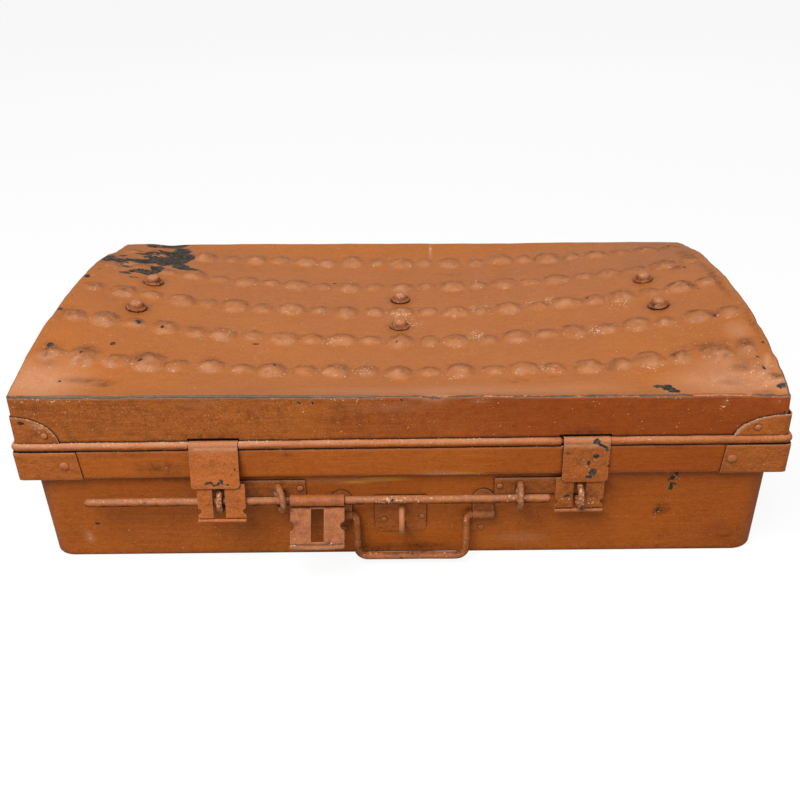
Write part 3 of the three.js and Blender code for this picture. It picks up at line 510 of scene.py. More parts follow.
print("lid")
lid = {
    "sheet": 1.1, "flare": 1.2, "foot": 137.2, "edgeRadius": 2.2, "cornerRadius": 3.0, "spacing": 3.1,
    "leftRise": 24.8, "rightRise": 27.5, "sag": 13, "skew": 4.1, "archPower": 2.5, "archFall": 1.3,
    "sagPower": 6, "bumpPitch": 30.5, "rowPitch": 73, "rowOffset": 9, "largeHeight": 5.6, "smallHeight": 3.8,
    "largeRadius": 16.2, "smallRadius": 12.2, "crest": 207.5, "haspNotch": 48.5, "notchTop": 141.2,
    "dents": [  # x, y, z, three radii, and how far the sheet moves along x, y and z
        (33, -203, 184, (9, 10, 8), (0, 1.6, -2.2)), (20, -170, 178, (46, 22, 20), (0, 0, -1.2)),
        (120, -176, 178, (40, 20, 20), (0, 0, -1.6)), (182, -172, 180, (36, 16, 20), (0, 0, 1.6)),
        (236, -178, 182, (34, 16, 20), (0, 0, -2.4)), (290, -172, 188, (26, 18, 20), (0, 0, 1.4)),
        (322, -190, 186, (20, 12, 14), (0, 0.5, -2.4)), (350, -200, 184, (14, 12, 10), (-2.2, 1.8, -2.6)),
        (358, -196, 168, (8, 14, 12), (-2.2, 0.6, 0)), (300, -203, 176, (30, 8, 9), (0, 1.2, 0)),
        (-330, -186, 190, (22, 16, 14), (0, 0, -1.2)), (-290, -168, 190, (30, 18, 20), (0, 0, -1.0)),
        (-356, -60, 205, (10, 26, 16), (0.6, 0, -1.6)), (-356, 40, 208, (10, 30, 16), (0.6, 0, 0.6)),
        (-350, 150, 196, (16, 22, 14), (0.8, 0, -2.4)), (-322, 190, 190, (22, 16, 14), (0, -0.6, 1.8)),
        (-300, 196, 188, (14, 12, 12), (0, -0.8, -1.6)), (-180, -204, 176, (60, 8, 16), (0, 0.9, 0)),
        (90, -204, 166, (80, 8, 20), (0, 1.1, 0)), (-60, -204, 172, (50, 8, 18), (0, -0.5, 0)),
        (356, 60, 207, (10, 30, 16), (-0.6, 0, -1.8)), (354, 150, 198, (12, 24, 16), (-0.8, 0, -1.2)),
        (140, 204, 166, (70, 8, 22), (0, -1.2, 0)), (-120, 204, 160, (60, 8, 20), (0, -0.8, 0)),
        (-359, -60, 165, (8, 60, 20), (0.9, 0, 0)), (359, 70, 165, (8, 60, 20), (-1.0, 0, 0)),
        (306, -186, 186, (12, 9, 10), (0, 0, 2.2)), (328, -172, 186, (10, 9, 12), (0, 0, -2.8)),
        (341, -181, 186, (8, 8, 10), (0, 0, 2.8)), (351, -166, 188, (8, 9, 12), (-0.4, 0, -2.8)),
        (343, -150, 190, (9, 9, 12), (0, 0, 2.2)), (318, -152, 188, (12, 8, 12), (0, 0, 1.6)),
        (356, -184, 182, (7, 7, 9), (-1.6, 0.5, 1.2)),
        (358, -140, 184, (7, 8, 12), (-1.8, 0, -0.8)), (358, -95, 192, (7, 9, 12), (-1.5, 0, -1.0)),
        (344, -203, 176, (8, 8, 7), (0, 1.5, -0.6)), (322, -203, 180, (7, 8, 5), (0, 1.3, 0)),
        (272, -180, 186, (12, 8, 10), (0, 0, -1.3)),
    ],
}


# lines across the lid, closer at its edges, with the notch edges among them
def edgeLines(half, radius, spacing, extra=()):
    inner = half - radius
    near = [inner, inner - 0.8, inner - 1.8, inner - 3.2, inner - 5.2]
    count = int(2 * near[-1] / spacing)
    lines = list(np.linspace(-near[-1], near[-1], count + 1)) + near[:-1] + [-v for v in near[:-1]]
    for value in extra:
        nearest = min(range(count + 1), key=lambda k: abs(lines[k] - value))
        lines[nearest] = value
    return np.array(sorted(lines))


# a flat-topped tray: the top as a grid, then rows of points round its edge and down the walls
def trayMesh():
    inset, halfX, halfY = lid["edgeRadius"], trunk["lidHalfLength"], trunk["lidHalfDepth"]
    straightX, straightY = halfX - lid["cornerRadius"], halfY - lid["cornerRadius"]
    notch = lid["haspNotch"] / 2
    stations = [side * at + off for at in (trunk["hasp"], trunk["hinge"]) for side in (-1, 1)
                for off in (-notch, notch)]
    xs, ys = edgeLines(halfX, inset, lid["spacing"], stations), edgeLines(halfY, inset, lid["spacing"])
    columns, rows = len(xs), len(ys)
    places = []
    for y in ys:
        for x in xs:
            dx, dy = abs(x) - straightX, abs(y) - straightY
            if dx > 0 and dy > 0:  # the plan's corners are rounded
                length = math.hypot(dx, dy)
                share = max(dx, dy) / length
                x = math.copysign(abs(x) - dx + dx * share, x)
                y = math.copysign(abs(y) - dy + dy * share, y)
            places.append((x, y, trunk["lidEdge"]))
    faces = gridFaces(rows, columns)
    loop = (list(range(columns)) + [r * columns + columns - 1 for r in range(1, rows)]
            + [(rows - 1) * columns + c for c in range(columns - 2, -1, -1)]
            + [r * columns for r in range(rows - 2, 0, -1)])
    steps = 5
    levels = [(inset * math.sin(quarterTurn * k / steps), inset * (1 - math.cos(quarterTurn * k / steps)))
              for k in range(1, steps + 1)]
    wallRows = 15
    drop = trunk["lidEdge"] - lid["notchTop"]
    for k in range(1, wallRows + 1):
        down = inset + (drop - inset) * k / wallRows
        levels.append((inset + lid["flare"] * (down - inset) / (drop - inset), down))
    levels += [(inset + lid["flare"], trunk["lidEdge"] - lid["foot"] - 1.6),
               (inset + lid["flare"], trunk["lidEdge"] - lid["foot"])]
    base = [places[v] for v in loop]
    ways = []
    for x, y, z in base:
        overX, overY = abs(x) - straightX, abs(y) - straightY
        if overX > 1e-6 and overY > 1e-6:
            length = math.hypot(overX, overY)
            ways.append((math.copysign(overX / length, x), math.copysign(overY / length, y)))
        elif overX > overY:
            ways.append((math.copysign(1, x), 0))
        else:
            ways.append((0, math.copysign(1, y)))
    last = loop
    notchRow = len(levels) - 2
    for level, (out, down) in enumerate(levels):
        start = len(places)
        places += [(x + wx * out, y + wy * out, z - down) for (x, y, z), (wx, wy) in zip(base, ways)]
        row = list(range(start, start + len(base)))
        for k in range(len(base)):
            n = (k + 1) % len(base)
            middleX = (base[k][0] + base[n][0]) / 2
            frontOrRear = abs(ways[k][1]) > 0.9 and abs(ways[n][1]) > 0.9
            at = trunk["hasp"] if base[k][1] < 0 else trunk["hinge"]
            if level >= notchRow and frontOrRear and abs(abs(middleX) - at) < notch:
                continue
            faces.append((last[k], row[k], row[n], last[n]))
        last = row
    return places, faces


# a Geometry Nodes tree with named sizes, the keys that set them and what the tree is given
def startTree(name, sizes, seeded=False):
    tree = bpy.data.node_groups.new(name, "GeometryNodeTree")
    socket = tree.interface.new_socket
    socket("Geometry", in_out="INPUT", socket_type="NodeSocketGeometry")
    keys = {size: socket(size, in_out="INPUT", socket_type="NodeSocketFloat").identifier for size in sizes}
    if seeded:
        keys["Seed"] = socket("Seed", in_out="INPUT", socket_type="NodeSocketInt").identifier
    socket("Geometry", in_out="OUTPUT", socket_type="NodeSocketGeometry")
    return tree, keys, addNode(tree, "NodeGroupInput").outputs


def endTree(tree, shape, material):
    shape = addNode(tree, "GeometryNodeRealizeInstances", {"Geometry": shape}).outputs[0]
    shape = addNode(tree, "GeometryNodeSetMaterial", {"Geometry": shape, "Material": material}).outputs[0]
    addNode(tree, "NodeGroupOutput", {0: shape})


# Geometry Nodes: presses the arch, the sag and the rows of bumps into a flat-topped tray
def pressingTree(material):
    names = ("Half Length", "Half Depth", "Edge Height", "Foot Height", "Left Rise", "Right Rise", "Sag",
             "Arch Power", "Arch Fall", "Sag Power", "Skew", "Bump Pitch", "Row Pitch", "Row Offset",
             "Large Height", "Small Height", "Large Radius", "Small Radius")
    tree, keys, given = startTree("lidPressing", names, seeded=True)
    position = addNode(tree, "GeometryNodeInputPosition").outputs[0]
    known = {name: given[name] for name in names}
    known["x"], known["y"], known["z"] = addNode(tree, "ShaderNodeSeparateXYZ", {0: position}).outputs
    workOut(tree, known, (
        # the arch at the ends, the sag between them and the skew, fading to nothing at the foot
        ("side", "ABSOLUTE", "x"), ("side", "DIVIDE", "side", "Half Length"),
        ("side", "MINIMUM", "side", 1.0), ("along", "POWER", "side", 2.0),
        ("middle", "SUBTRACT", 1.0, "along"),
        ("across", "ABSOLUTE", "y"), ("across", "DIVIDE", "across", "Half Depth"),
        ("across", "MINIMUM", "across", 1.0), ("right", "GREATER_THAN", "x", 0.0),
        ("rise", "choose", "right", "Left Rise", "Right Rise"), ("rise", "MULTIPLY", "rise", "along"),
        ("arch", "POWER", "across", "Arch Power"), ("arched", "SUBTRACT", 1.0, "arch"),
        ("arch", "POWER", "arched", "Arch Fall"), ("arch", "MULTIPLY", "rise", "arch"),
        ("skew", "DIVIDE", "x", "Half Length"), ("skew", "MULTIPLY", "skew", "Skew"),
        ("sag", "POWER", "across", "Sag Power"), ("sag", "SUBTRACT", 1.0, "sag"),
        ("deep", "MULTIPLY", "Sag", "middle"), ("sag", "MULTIPLY", "deep", "sag"),
        ("above", "SUBTRACT", "z", "Foot Height"), ("wall", "SUBTRACT", "Edge Height", "Foot Height"),
        ("weight", "DIVIDE", "above", "wall"), ("lift", "SUBTRACT", "arch", "sag"),
        ("lift", "SUBTRACT", "lift", "skew"), ("lift", "MULTIPLY", "lift", "weight"),
        # which bump a point belongs to
        ("column", "DIVIDE", "x", "Bump Pitch"), ("column", "ROUND", "column"),
        ("row", "SUBTRACT", "y", "Row Offset"), ("row", "DIVIDE", "row", "Row Pitch"),
        ("row", "ROUND", "row"), ("rowNumber", "ADD", "row", 8.0), ("number", "ADD", "column", 32.0),
        ("number", "MULTIPLY_ADD", "rowNumber", 64.0, "number"), ("otherNumber", "ADD", "number", 5000.0),
        ("odd", "FLOORED_MODULO", "column", 2.0), ("odd", "ABSOLUTE", "odd"),
        ("large", "LESS_THAN", "odd", 0.5),
        ("radius", "choose", "large", "Small Radius", "Large Radius"),
        ("height", "choose", "large", "Small Height", "Large Height"),
        ("inRow", "ABSOLUTE", "row"), ("inRow", "LESS_THAN", "inRow", 2.5),
        ("inGrid", "ABSOLUTE", "column"), ("inGrid", "LESS_THAN", "inGrid", 11.5),
        ("inGrid", "MULTIPLY", "inRow", "inGrid"),
    ), clamped=("arched", "weight"))

    # no two bumps are quite alike
    for name, low, high, number in (("shift", (-0.0019, -0.0024, 0), (0.0019, 0.0024, 0), "number"),
                                    ("spread", (0.84, 0.86, 0), (1.1, 1.12, 0), "otherNumber")):
        pair = addNode(tree, "FunctionNodeRandomValue", {
            0: low, 1: high, "ID": known[number], "Seed": given["Seed"]}, data_type="FLOAT_VECTOR").outputs[0]
        known[name + "X"], known[name + "Y"], _ = addNode(tree, "ShaderNodeSeparateXYZ", {0: pair}).outputs
    known["strength"] = addNode(tree, "FunctionNodeRandomValue", {
        2: 0.72, 3: 1.12, "ID": known["number"], "Seed": given["Seed"]}, data_type="FLOAT").outputs[1]
    for name, cells, detail in (("wobble", 95.0, 2.0), ("crumple", 150.0, 1.0)):
        known[name] = addNode(tree, "ShaderNodeTexNoise", {
            "Vector": position, "Scale": cells, "Detail": detail}).outputs[0]
    workOut(tree, known, (
        ("centreX", "MULTIPLY_ADD", "column", "Bump Pitch", "shiftX"),
        ("centreY", "MULTIPLY_ADD", "row", "Row Pitch", "Row Offset"),
        ("centreY", "ADD", "centreY", "shiftY"),
        ("stepX", "SUBTRACT", "x", "centreX"), ("stepY", "SUBTRACT", "y", "centreY"),
        ("wide", "MULTIPLY", "radius", "spreadX"), ("stepX", "DIVIDE", "stepX", "wide"),
        ("wide", "MULTIPLY", "radius", "spreadY"), ("stepY", "DIVIDE", "stepY", "wide"),
        ("away", "MULTIPLY", "stepX", "stepX"), ("away", "MULTIPLY_ADD", "stepY", "stepY", "away"),
        ("wobble", "MULTIPLY_ADD", "wobble", 1.3, 0.4), ("away", "MULTIPLY", "away", "wobble"),
        ("inside", "SUBTRACT", 1.0, "away"), ("dome", "POWER", "inside", 1.05),
        ("dome", "MULTIPLY", "dome", "inGrid"),
        ("crumple", "MULTIPLY_ADD", "crumple", 0.9, 0.55), ("strength", "MULTIPLY", "strength", "crumple"),
        ("raised", "MULTIPLY", "dome", "height"), ("raised", "MULTIPLY", "raised", "strength"),
        ("lift", "ADD", "lift", "raised"),
        ("nearby", "SUBTRACT", 1.25, "away"), ("foot", "MULTIPLY", "nearby", "inGrid"),
    ), clamped=("inside", "nearby"))
    offset = addNode(tree, "ShaderNodeCombineXYZ", {2: known["lift"]}).outputs[0]
    sheet = addNode(tree, "GeometryNodeSetPosition", {
        "Geometry": given["Geometry"], "Offset": offset}).outputs[0]
    for name in ("dome", "foot"):
        sheet = addNode(tree, "GeometryNodeStoreNamedAttribute", {
            "Geometry": sheet, "Name": name, "Value": known[name]},
            data_type="FLOAT", domain="POINT").outputs[0]
    endTree(tree, sheet, material)
    return tree, keys


# leftRise becomes Left Rise
def socketName(key):
    return "".join(" " + letter if letter.isupper() else letter for letter in key).title()


def pressLid(piece):
    press = piece.modifiers.new("pressing", "NODES")
    press.node_group, keys = pressingTree(lidPaint)
    sizes = {"Half Length": trunk["lidHalfLength"], "Half Depth": trunk["lidHalfDepth"],
             "Edge Height": trunk["lidEdge"], "Foot Height": lid["foot"]}
    for key in ("leftRise", "rightRise", "sag", "skew", "bumpPitch", "rowPitch", "rowOffset", "largeHeight",
                "smallHeight", "largeRadius", "smallRadius"):
        sizes[socketName(key)] = lid[key]
    for name, size in sizes.items():
        press[keys[name]] = size * mm
    for key in ("archPower", "archFall", "sagPower"):
        press[keys[socketName(key)]] = float(lid[key])
    press[keys["Seed"]] = 7
    return settle(piece)


# how far points lie inside an ellipse in plan, from 0 outside it to 1 and, in its middle, to its reach
def within(places, x, y, halfX, halfY, reach=1.2):
    return np.clip(reach - np.hypot((places[:, 0] - x) / halfX, (places[:, 1] - y) / halfY), 0, 1)


def makeLid():
    piece = makePiece("lidShell", *trayMesh(), lidPaint)
    flat = pointsOf(piece)
    places = pointsOf(pressLid(piece))
    top = np.clip((places[:, 2] - 150) / 30, 0, 1)
    for height, size, seed in ((0.8, 70, 3), (0.35, 22, 9)):
        places[:, 2] += top * height * ripple(places, size, seed)
    dent(places, lid["dents"], 1.2, lambda p: np.clip((p[:, 2] - 139) / 8, 0, 1))
    # crumpled sheet at the corners and the ends
    ends = np.abs(places[:, 0])
    crumpled = (1.7 * within(places, 336, -172, 52, 38, 1.25) + 0.9 * within(places, -320, 160, 44, 40)
                + 0.8 * np.clip((ends - 322) / 30, 0, 1))
    places[:, 2] += top * np.minimum(crumpled, 1.9) * ripple(places, 11, 41)
    crest, room = lid["crest"], cadHigh.z / mm - 0.2 - lid["crest"]
    high = places[:, 2] > crest
    places[high, 2] = crest + room * np.tanh((places[high, 2] - crest) / room)
    setPoints(piece, places)
    paintLid(piece, flat, places)
    thicken(piece, lid["sheet"], soften=0)
    # the paint inside has none of the marks
    outside = np.sum(normalsOf(piece) * (pointsOf(piece) - (0, 0, 130)) * (1, 1.7, 5), axis=1) > 0
    paint(piece, **{name: np.where(outside, fieldOf(piece, name), 0)
                    for name in ("chip", "edge", "rub", "fleck", "grime", "faded")})
    return piece


# wear, painted highlight and painted shade by the sheet's shape, then the single marks
def paintLid(piece, flat, places):
    x, y, _ = places.T
    edgeHeight = trunk["lidEdge"]
    dome, foot = fieldOf(piece, "dome"), fieldOf(piece, "foot")
    isTop = flat[:, 2] > edgeHeight - 0.05
    below = edgeHeight - flat[:, 2]
    lean = 3.2 * normalsOf(piece)[:, 1] * (foot > 0.02)
    broken = np.clip(0.75 + 0.9 * ripple(places, 7, 17), 0, 1.4)
    # the whole top gets a light painted sheen; the bumps get a painted highlight on their front sides,
    # painted shade on their rear sides and in patches on their domes, most towards the ends, and dirt and
    # flecks round their feet
    rub = 0.12 + (0.12 * dome + 0.42 * np.clip(-lean, 0, 1)) * broken
    grime = (0.22 * np.clip((foot - dome) * 1.4, 0, 1) + 0.42 * np.clip(lean, 0, 1)
             + 0.12 * np.clip(dome - 0.5, 0, 1)) * broken
    fleck = np.clip(foot * 2.4, 0, 1) * np.clip(1 - dome * 2.2, 0, 1) * broken
    grime += 0.42 * dome * np.clip(1.5 * ripple(places, 5.5, 43), 0, 1)
    outer = np.clip((np.abs(x) - 210) / 110, 0, 1)
    grime += 0.16 * fleck + 0.5 * dome * outer * np.clip(0.4 + 1.4 * ripple(places, 6, 31), 0, 1)
    # painted shade: the lid's walls are darker than its top
    grime = np.maximum(grime, 0.14 * (below > 1.9))
    # bare metal along the edge, least at the front right
    arris = np.clip(1.25 - np.abs(1.1 - below) / 1.7, 0, 1) * (below > 0.02)
    edge = arris * np.where(y < -200, np.where(x < -20, 1.0, 0.66), np.where(x > 350, 1.1, 0.8))
    # painted sheen on the top near its front corners and along its front
    corner = np.maximum(within(places, -335, -180, 60, 45), within(places, 310, -180, 80, 36))
    corner = np.maximum(corner, 0.7 * within(places, 60, -185, 200, 22))
    rub = np.where(isTop, np.maximum(rub, 0.66 * corner), 0)
    frontEdge = np.clip(1 - np.abs(1.6 - below) / 1.4, 0, 1) * (y < -198)
    rub = np.maximum(rub, 0.8 * frontEdge)
    rub = np.maximum(rub, 0.45 * np.clip(1 - (flat[:, 1] + 203) / 5, 0, 1) * (below < 0.1))
    # painted sheen and sun-fading: the paler coat on the top; painted shade: the walls darker and redder
    # towards the right
    paint(piece, rub=(rub, lidMarks["rub"]), grime=(grime, lidMarks["grime"]), chip=lidMarks["chip"],
          fleck=(np.where(isTop, fleck, 0.8 * frontEdge), lidMarks["fleck"]), faded=0.5 * isTop,
          warm=np.where(isTop, 0, np.clip((x + 100) / 320, 0, 0.75)), edge=edge)


lidMarks = {
    "chip": [
        # the loss at the left rear
        (-350, 108, 206, (13, 22, 8), 0.72), (-334, 104, 203, (14, 20, 8), 0.78),
        (-342, 132, 202, (12, 14, 8), 0.68),
        (-314, 112, 198, (20, 9, 8), 1.25), (-292, 122, 194, (20, 18, 8), 1.5),
        (-276, 138, 191, (15, 26, 8), 1.6),
        (-288, 88, 197, (9, 14, 7), 1.35), (-258, 105, 190, (17, 4.5, 7), 1.5),
        (-279, 172, 187, (13, 14, 8), 1.3),
        (-294, 196, 187, (20, 12, 8), 1.15), (-318, 190, 189, (14, 9, 8), 1.0),
        (-298, 158, 190, (13, 13, 8), 1.2),
        (-314, 146, 194, (18, 6, 7), 1.15), (-300, 70, 200, (20, 5, 7), 1.25),
        (-318, 62, 204, (10, 4, 6), 1.0),
        (-266, 110, 192, (11, 12, 7), 1.3), (-304, 134, 195, (18, 7, 7), 0.95),
        (-330, 160, 197, (12, 6, 6), 0.8),
        (-304, 52, 202, (14, 2.4, 6), 0.8), (-326, 84, 202, (14, 6, 6), 0.75),
        (-262, 150, 188, (6, 16, 6), 0.9),
        (240, -181, 180, (5, 4, 9), 1.1), (248, -185, 180, (7, 7, 9), 1.2), (252, -194, 180, (6, 5, 9), 1.2),
        (-340.8, -123, 204, (4, 5, 9), 1.2), (-270.4, -61.9, 198, (3.6, 4, 9), 1.2),
        (-285, -107.7, 194, (3.4, 3.4, 9), 1.2),
        (-147.4, -81, 179, (4.6, 2.6, 9), 1.2), (-2.5, -72.5, 171, (3, 3, 9), 1.1),
        (-79, 92, 173, (2.8, 2.8, 9), 1.0),
        (-353.6, -54, 212, (4, 4, 9), 1.1), (-336.7, -56.7, 209, (4.4, 2.8, 9), 1.1),
        (-352, 33, 211, (3.4, 6, 9), 1.1),
        (-245.4, -68.5, 193, (2.6, 4.4, 9), 1.0), (-215.8, -58.7, 189, (2.6, 2.6, 9), 1.0),
        (-307.7, -134.9, 197, (2.8, 3, 9), 0.95),
        (-250.2, -139, 189, (4, 4.4, 9), 0.9), (-315.8, -175.8, 189, (2.6, 3, 9), 0.8),
        (-121.5, -134, 179, (3.6, 3.6, 9), 0.95),
        (207.9, 11.4, 184, (2.6, 2.8, 9), 0.9), (323.7, -2, 203, (4, 2.8, 9), 0.85),
        (322, -69.8, 202, (3.2, 4, 9), 1.1),
        (326, 61, 202, (3, 4, 9), 0.9), (333.5, -128, 195, (4, 3.4, 9), 0.9),
        (244.8, -126.8, 185, (2.6, 3, 9), 0.75),
        (119.8, -180, 180, (3.4, 2.6, 9), 0.7), (342, -165, 190, (3, 6, 9), 0.95),
        (-240.5, 20, 190, (2.4, 2.4, 9), 0.7),
        (33, -202, 182, (5, 4, 5), 1), (37, -203, 178.5, (4, 3, 3), 0.95),
        (-181, -204, 180.5, (5, 3, 2), 0.75),
        (-77.5, -204, 177, (2.4, 3, 2), 0.8), (4, -204, 179.8, (3, 3, 2), 0.9),
        (-346, 60, 208, (4, 4, 4), 0.7),
        (-352, -20, 209, (3, 3, 4), 0.8), (-340, -64, 207, (3, 4, 4), 0.8), (345, -66, 204, (3, 3, 4), 0.6),
        (-200, -40, 183, (2.4, 2.4, 3), 0.8), (120, 60, 174, (2.4, 2, 3), 0.8),
        (210, -100, 181, (2.4, 2, 3), 0.7),
        (352, -203, 160, (3, 3, 8), 0.6), (330, -184, 184, (6, 3, 4), 0.75),
        (340, -150, 190, (4, 4, 4), 0.62),
        (357, -190, 182, (4, 8, 5), 0.9), (357, -140, 186, (3, 16, 4), 0.8),
        (350, -201, 183, (8, 4, 4), 0.85),
        (300, -203, 182, (12, 3, 3), 0.7), (272, -203, 182, (14, 3, 2.4), 0.65),
        (196, -203, 182, (10, 3, 2.4), 0.7),
        (350, -190, 184, (7, 3, 6), 1.2), (338, -198, 184, (8, 2.4, 5), 0.95),
        (326, -160, 190, (6, 3, 6), 0.8),
        (352, -128, 192, (3, 7, 6), 0.9), (-352, -168, 188, (4, 7, 6), 0.7),
        (-356, -90, 203, (3, 14, 6), 0.75),
        (-90, -204, 178, (5, 3, 2.4), 0.8), (-240, -150, 190, (3, 3, 4), 0.7),
    ],
    "fleck": [
        (297, -204, 173, (5, 3, 5), 1.3), (294, -204, 168, (4, 3, 3), 1.2), (75, -204, 177, (12, 3, 3), 1.2),
        (38, 186, 178, (2, 24, 10), 1.2), (340, -172, 186, (18, 20, 12), 0.4), (0, 0, 172, (22, 22, 8), 0.8),
        (-70, -70, 174, (8, 8, 6), 1.2), (-62, 96, 174, (10, 8, 6), 1.2), (150, 20, 176, (12, 10, 6), 1.1),
        (-320, -203, 183, (40, 3, 3), 0.8), (-60, -203, 183, (60, 3, 3), 0.8),
        (240, -150, 182, (8, 5, 5), 1.0), (14, 158, 174, (3, 14, 9), 1.2),
        (88.7, 92, 173, (12, 12, 9), 1.0), (168.5, 23, 178, (9, 12, 9), 1.1),
        (86.7, 15, 173, (12, 12, 9), 1.1),
        (203, -64, 181, (9, 12, 9), 1.3), (79.5, -55.5, 172, (12, 14, 9), 1.1),
        (144.5, -138, 175, (14, 12, 9), 0.9),
        (13.7, -23, 171, (14, 12, 9), 1.0), (238.7, -12.7, 186, (14, 12, 9), 0.9),
        (-40, -130, 176, (30, 14, 9), 0.7),
        (-180, -60, 184, (26, 12, 9), 0.7), (300, -100, 195, (40, 30, 12), 0.2),
    ],
    "rub": [
        (-308, -166, 190, (26, 16, 12), 0.4), (38, 186, 178, (1.2, 22, 10), 0.9),
        (-181, -204, 177, (26, 3, 3), 0.35),
        (75, -204, 176.6, (14, 3, 2.2), 0.6), (297, -204, 173, (3, 3, 4), 0.45),
        (33, -200, 184, (20, 14, 8), 0.6), (0, -204, 172, (60, 3, 7), 0.2),
        (318, -172, 184, (34, 16, 12), 0.5),
        (-332, 96, 203, (22, 26, 12), 0.5), (334, -104, 200, (16, 22, 12), 0.45),
        (302, -160, 188, (34, 22, 12), 0.5),
        *stroke([(292, -180, 184), (312, -170, 184), (330, -178, 184), (345, -168, 186)], (5, 4, 8), 0.75),
        *stroke([(318, -198, 184), (334, -188, 184), (352, -182, 184)], (4.4, 3.6, 8), 0.8),
        *stroke([(338, -186, 184), (342, -168, 186), (350, -148, 188)], (4, 4.4, 8), 0.7),
    ],
    # dirt, and painted shade in the gaps under the hasps' notches, on the dark flanks of bumps and along the
    # right end
    "grime": [
        (-291, -173, 188, (26, 5, 9), 0.5), (-275, -179, 187, (9, 4, 7), 0.55),
        (-345, -60, 206, (12, 14, 10), 0.35),
        (-282, -27.5, 197, (16, 16, 6), 0.45), (-282, 45.5, 197, (16, 16, 6), 0.5),
        (0, -27.5, 171, (15, 15, 6), 0.4),
        (0, 45.5, 171, (15, 15, 6), 0.45), (276, -27.5, 192, (16, 16, 6), 0.45),
        (276, 45.5, 192, (16, 16, 6), 0.5),
        (-345, 104, 205, (16, 22, 12), 0.5), (-181, -204, 177, (16, 3, 4), 0.45),
        (-60, -204, 176, (30, 3, 5), 0.3),
        (-50, -204, 170, (40, 3, 4), 0.25), (330, -160, 190, (16, 10, 10), 0.3),
        (-230, 9, 190, (9, 12, 6), 0.3),
        (350, -176, 186, (8, 5, 8), 0.7), (322, -162, 188, (12, 5, 8), 0.55),
        (334, -197, 184, (16, 4, 6), 0.5),
        (306, -184, 184, (14, 4, 6), 0.4), (-336, -150, 194, (10, 6, 8), 0.4),
        (110, -160, 176, (14, 5, 6), 0.35),
        (-100, 10, 176, (12, 5, 6), 0.3), (200, 150, 182, (14, 6, 6), 0.35), (60, 120, 174, (20, 6, 6), 0.25),
        (-173, -204, 143, (28, 3, 4), 0.5), (173, -204, 143, (28, 3, 4), 0.5),
        (300, -120, 188, (24, 10, 8), 0.35),
        (322, -64, 203, (6, 9, 9), 0.8), (316, 4, 202, (8, 7, 9), 0.7), (318, 66, 202, (9, 9, 9), 0.6),
        (336, -124, 196, (9, 8, 9), 0.75), (300, -124, 191, (10, 9, 9), 0.6),
        (268, -132, 187, (5, 10, 9), 0.7),
        (205, -142, 182, (8, 7, 9), 0.55), (237, -140, 185, (10, 8, 9), 0.45),
        (-338, -128, 203, (12, 12, 9), 0.6),
        (-306, -128, 198, (14, 12, 9), 0.6), (-252, -132, 190, (12, 12, 9), 0.55),
        (-215, -56, 190, (12, 7, 9), 0.45),
        (-186, -124, 186, (9, 9, 9), 0.5), (-122, -126, 180, (10, 8, 9), 0.5),
        (-60, -124, 176, (9, 8, 9), 0.4),
        (346, 20, 207, (5, 60, 9), 0.55), (340, 110, 200, (8, 40, 9), 0.5), (352, -90, 200, (4, 40, 9), 0.4),
    ],
}
lidShell = makeLid()
print("lid shell", len(lidShell.data.polygons))
fitTo(lidShell, "lid", "lid_paint", "lid_top", "lid_front", "lid_back", "lid_left_end", "lid_right_end")

print("bead")
bead = {
    "radius": 4.0, "corner": 4.5, "knock": 0.28, "notch": 48.5, "inset": 0.6,
    "chips": [(-180, -206, 137, (3, 3, 3), 0.5), (352, -206, 136, (8, 6, 4), 0.55),
              (-96, -206, 138, (2, 3, 3), 0.7), (90, -208, 134, (6, 3, 2), 0.6)],
}


# the wire roll along the lid's lower edge, broken where a hasp or a hinge sits
def makeBead():
    halfX, halfY, z = trunk["beadX"], trunk["beadY"], trunk["beadZ"]
    gap = bead["notch"] / 2 + bead["inset"]
    hasp, hinge = trunk["hasp"], trunk["hinge"]
    runs = [
        [(-hasp + gap, -halfY, z), (hasp - gap, -halfY, z)],
        [(hasp + gap, -halfY, z), (halfX, -halfY, z), (halfX, halfY, z), (hinge + gap, halfY, z)],
        [(hinge - gap, halfY, z), (-hinge + gap, halfY, z)],
        [(-hinge - gap, halfY, z), (-halfX, halfY, z), (-halfX, -halfY, z), (-hasp - gap, -halfY, z)],
    ]
    places, faces = [], []
    for k, run in enumerate(runs):
        path = refine(filletPath(run, bead["corner"]) if len(run) > 2 else run, 6)
        some, more = wireMesh(path, bead["radius"], (0, 0, 1), sides=18, knock=bead["knock"], seed=3 + k)
        faces += [tuple(v + len(places) for v in face) for face in more]
        places += some
    piece = tidyMesh(makePiece("lidBead", places, faces, fittingsPaint), crease=60)
    places = pointsOf(piece)
    places[:, 2] += 0.25 * ripple(places, 9, 4)
    setPoints(piece, places)
    # painted highlight and pale flecks along the top of the bead, painted shade along its underside, the top
    # less pale towards the right
    upper = np.clip((places[:, 2] - trunk["beadZ"]) / 4, 0, 1)
    worn = np.clip(0.8 - places[:, 0] / 900 + 0.5 * ripple(places, 26, 5), 0.3, 1.2)
    paint(piece, rub=(0.64 * upper + 0.06) * worn, fleck=0.8 * upper * worn, chip=bead["chips"],
          grime=0.3 * np.clip((trunk["beadZ"] - 1 - places[:, 2]) / 3, 0, 1))
    return piece


lidBead = makeBead()
fitTo(lidBead, "lid", "case_paint")

